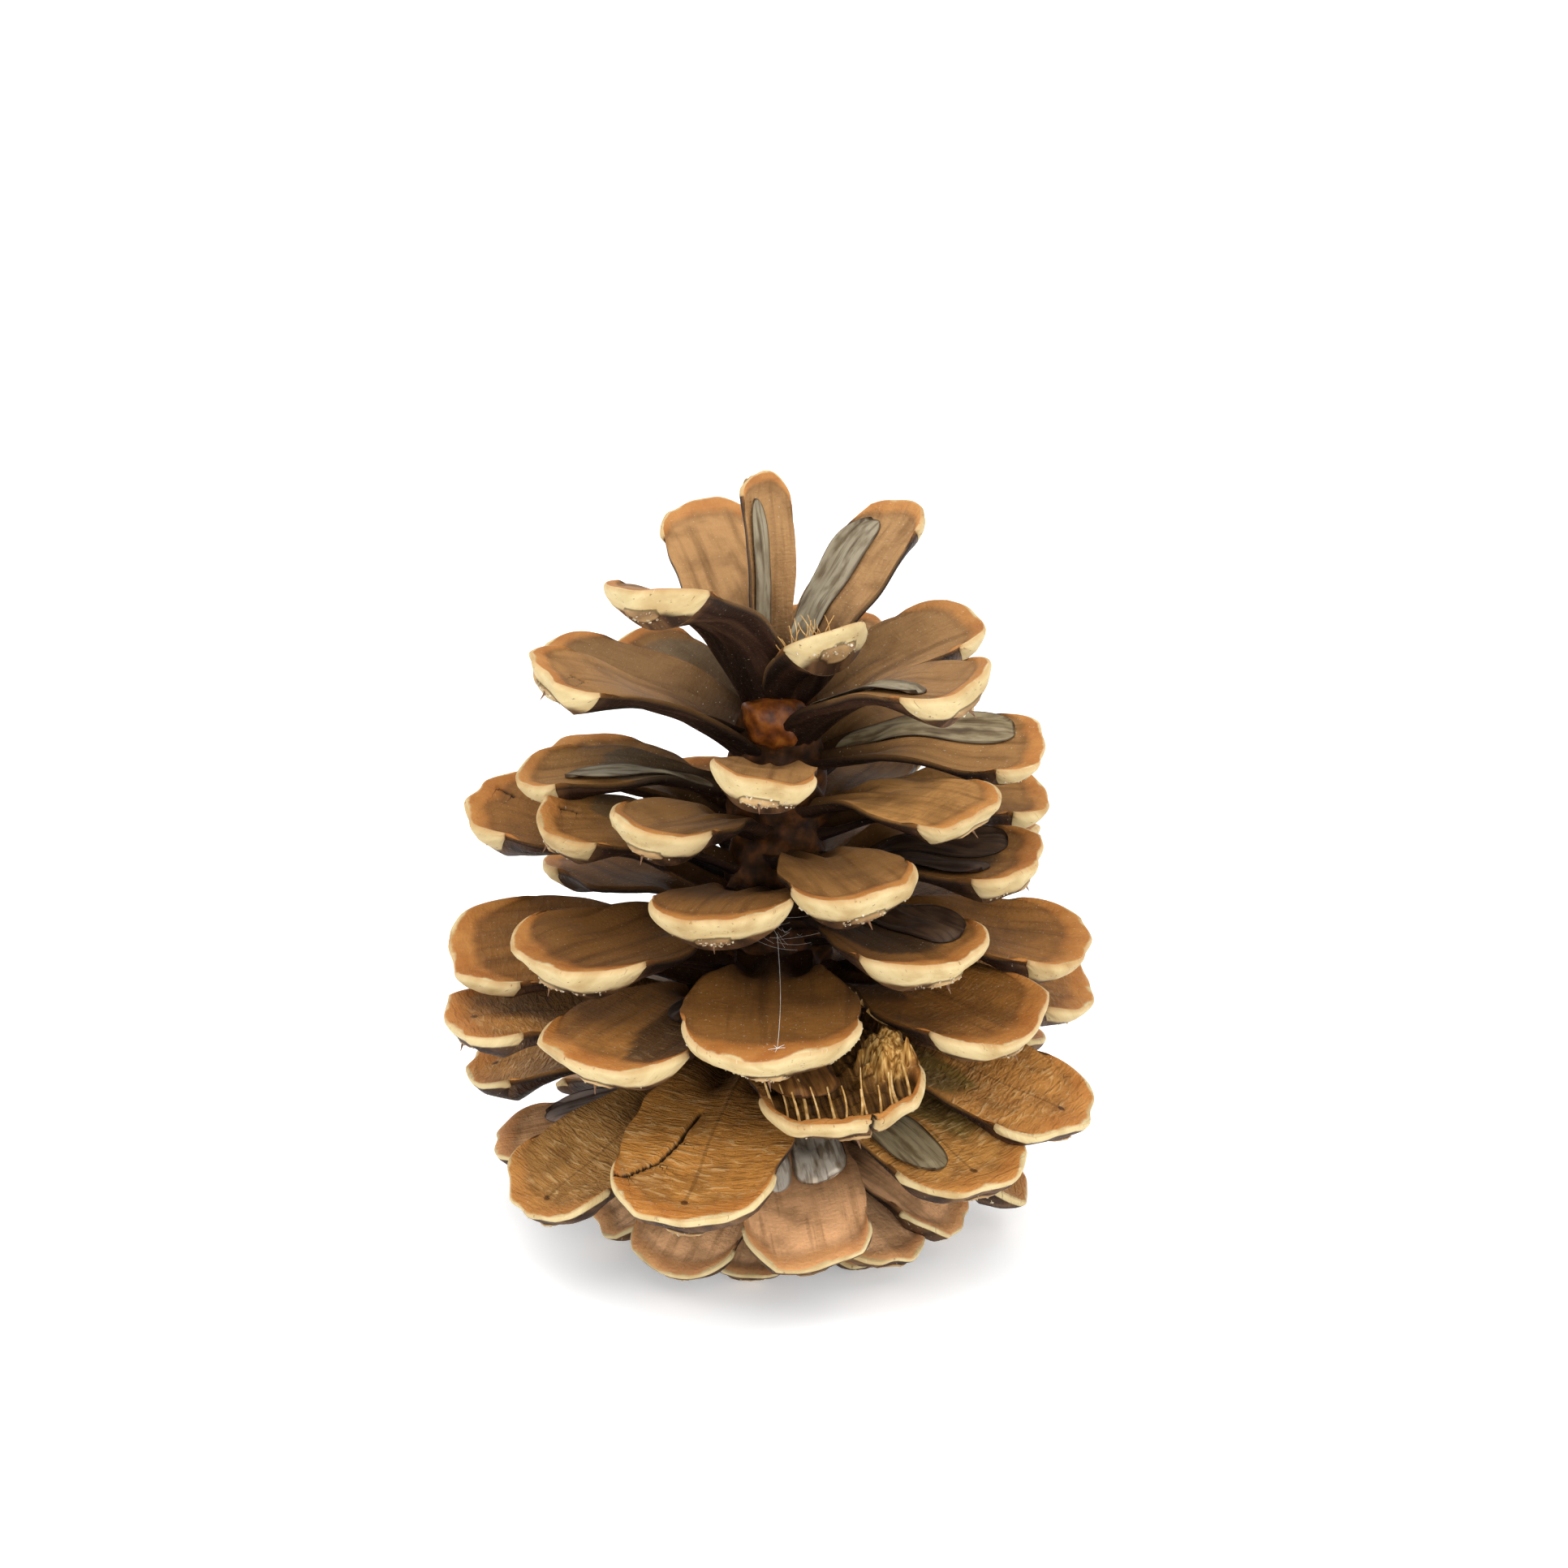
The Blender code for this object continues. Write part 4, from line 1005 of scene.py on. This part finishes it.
crumbTree, crumbKeys = crumbNodes()
threadTree, threadKeys = threadNodes()
for tier in scalePieces:
    values = {"Crumbs per square metre": crumbs["most"] / mm ** 2, "Smallest": crumbs["smallest"] * mm,
              "Largest": crumbs["largest"] * mm, "Seed": crumbs["seed"], "Resin": natural["driedResin"]}
    piece = fromNodes(tier.name.replace("scales", "resin"), tier.data.copy(), crumbTree, crumbKeys, values)
    print("resin strewn:", piece.name, len(piece.data.polygons), "faces")
for name, lines, finish in (("boss_prickles", prickleLines(), "prickleWood"),
                            ("torn_fibres", strandLines(), "tornFibre"), ("cobweb", webLines(), "spiderSilk")):
    piece = fromNodes(name, linesMesh(name, lines), threadTree, threadKeys, {"Finish": natural[finish]})
    print("threads drawn:", name, len(piece.data.polygons), "faces")

# The studio, in metres: a dish's radii and rises, lamps with place, aim, size and watts, and the camera,
# whose lens and shift come from the photo's width of 1932 pixels.
stage = {"floor": "#fbfbfb", "glow": 0.3, "world": "#ffffff", "worldStrength": 0.52, "sides": 64,
         "profile": ((0.35, 0), (0.6, 0.02), (0.85, 0.1), (1.05, 0.28), (1.15, 0.5))}
lamps = {"overhead": ((-0.05, -0.15, 0.8), (0, 0, 0.02), 1.1, 9.0),
         "front": ((0.3, -0.8, 0.5), (0, 0, 0.03), 0.6, 3.2)}
shot = {"elevation": 20.0, "distance": 0.26, "target": (0.0, 0.00028, 0.0242), "roll": 0.015, "sensor": 36,
        "lens": 3884 / 1932 * 36, "shift": (12 / 1932, 204 / 1932), "clipStart": 0.01}


def addFloor():                             # a plain pale dish: flat under the cone, its rim rising gently
    profile, sides = stage["profile"], stage["sides"]
    around = [2 * math.pi * k / sides for k in range(sides)]
    points = [(0, 0, 0)] + [(r * math.cos(a), r * math.sin(a), z) for r, z in profile for a in around]
    faces = [(0, 1 + k, 1 + (k + 1) % sides) for k in range(sides)]
    faces += [tuple(reversed(face)) for face in gridFaces(len(profile), sides, 1, wrap=True)]
    mesh = bpy.data.meshes.new("floor")
    mesh.from_pydata(points, [], faces)
    mesh.shade_smooth()
    floor = bpy.data.objects.new("floor", mesh)
    scene.collection.objects.link(floor)
    material, _, shader = newMaterial("studioFloor", 0.9)
    shader.inputs["Base Color"].default_value = linear(stage["floor"])
    shader.inputs["Emission Color"].default_value = linear(stage["floor"])
    shader.inputs["Emission Strength"].default_value = stage["glow"]
    mesh.materials.append(material)


def addLight(name, place, aim, size, power):
    light = bpy.data.lights.new(name, "AREA")
    light.energy, light.size = power, size
    lamp = bpy.data.objects.new(name, light)
    lamp.location = place
    lamp.rotation_euler = (Vector(aim) - Vector(place)).to_track_quat("-Z", "Y").to_euler()
    scene.collection.objects.link(lamp)


addFloor()
for name, values in lamps.items():
    addLight(name, *values)
world = bpy.data.worlds.new("studio")
world.use_nodes = True
background = next(node for node in world.node_tree.nodes if node.type == "BACKGROUND")
background.inputs["Color"].default_value = linear(stage["world"])
background.inputs["Strength"].default_value = stage["worldStrength"]
scene.world = world
scene.view_settings.view_transform = "Standard"

camera = bpy.data.objects.new("camera", bpy.data.cameras.new("camera"))
scene.collection.objects.link(camera)
tilt = math.radians(shot["elevation"])
place = Vector(shot["target"]) + shot["distance"] * Vector((0, -math.cos(tilt), math.sin(tilt)))
camera.matrix_world = (Matrix.Translation(place) @ Matrix.Rotation(math.pi / 2 - tilt, 4, "X")
                       @ Matrix.Rotation(shot["roll"], 4, "Z"))
camera.data.lens, camera.data.sensor_width = shot["lens"], shot["sensor"]
camera.data.shift_x, camera.data.shift_y = shot["shift"]
camera.data.clip_start = shot["clipStart"]
scene.camera = camera
print("floor, light and camera set")

bpy.context.view_layer.update()
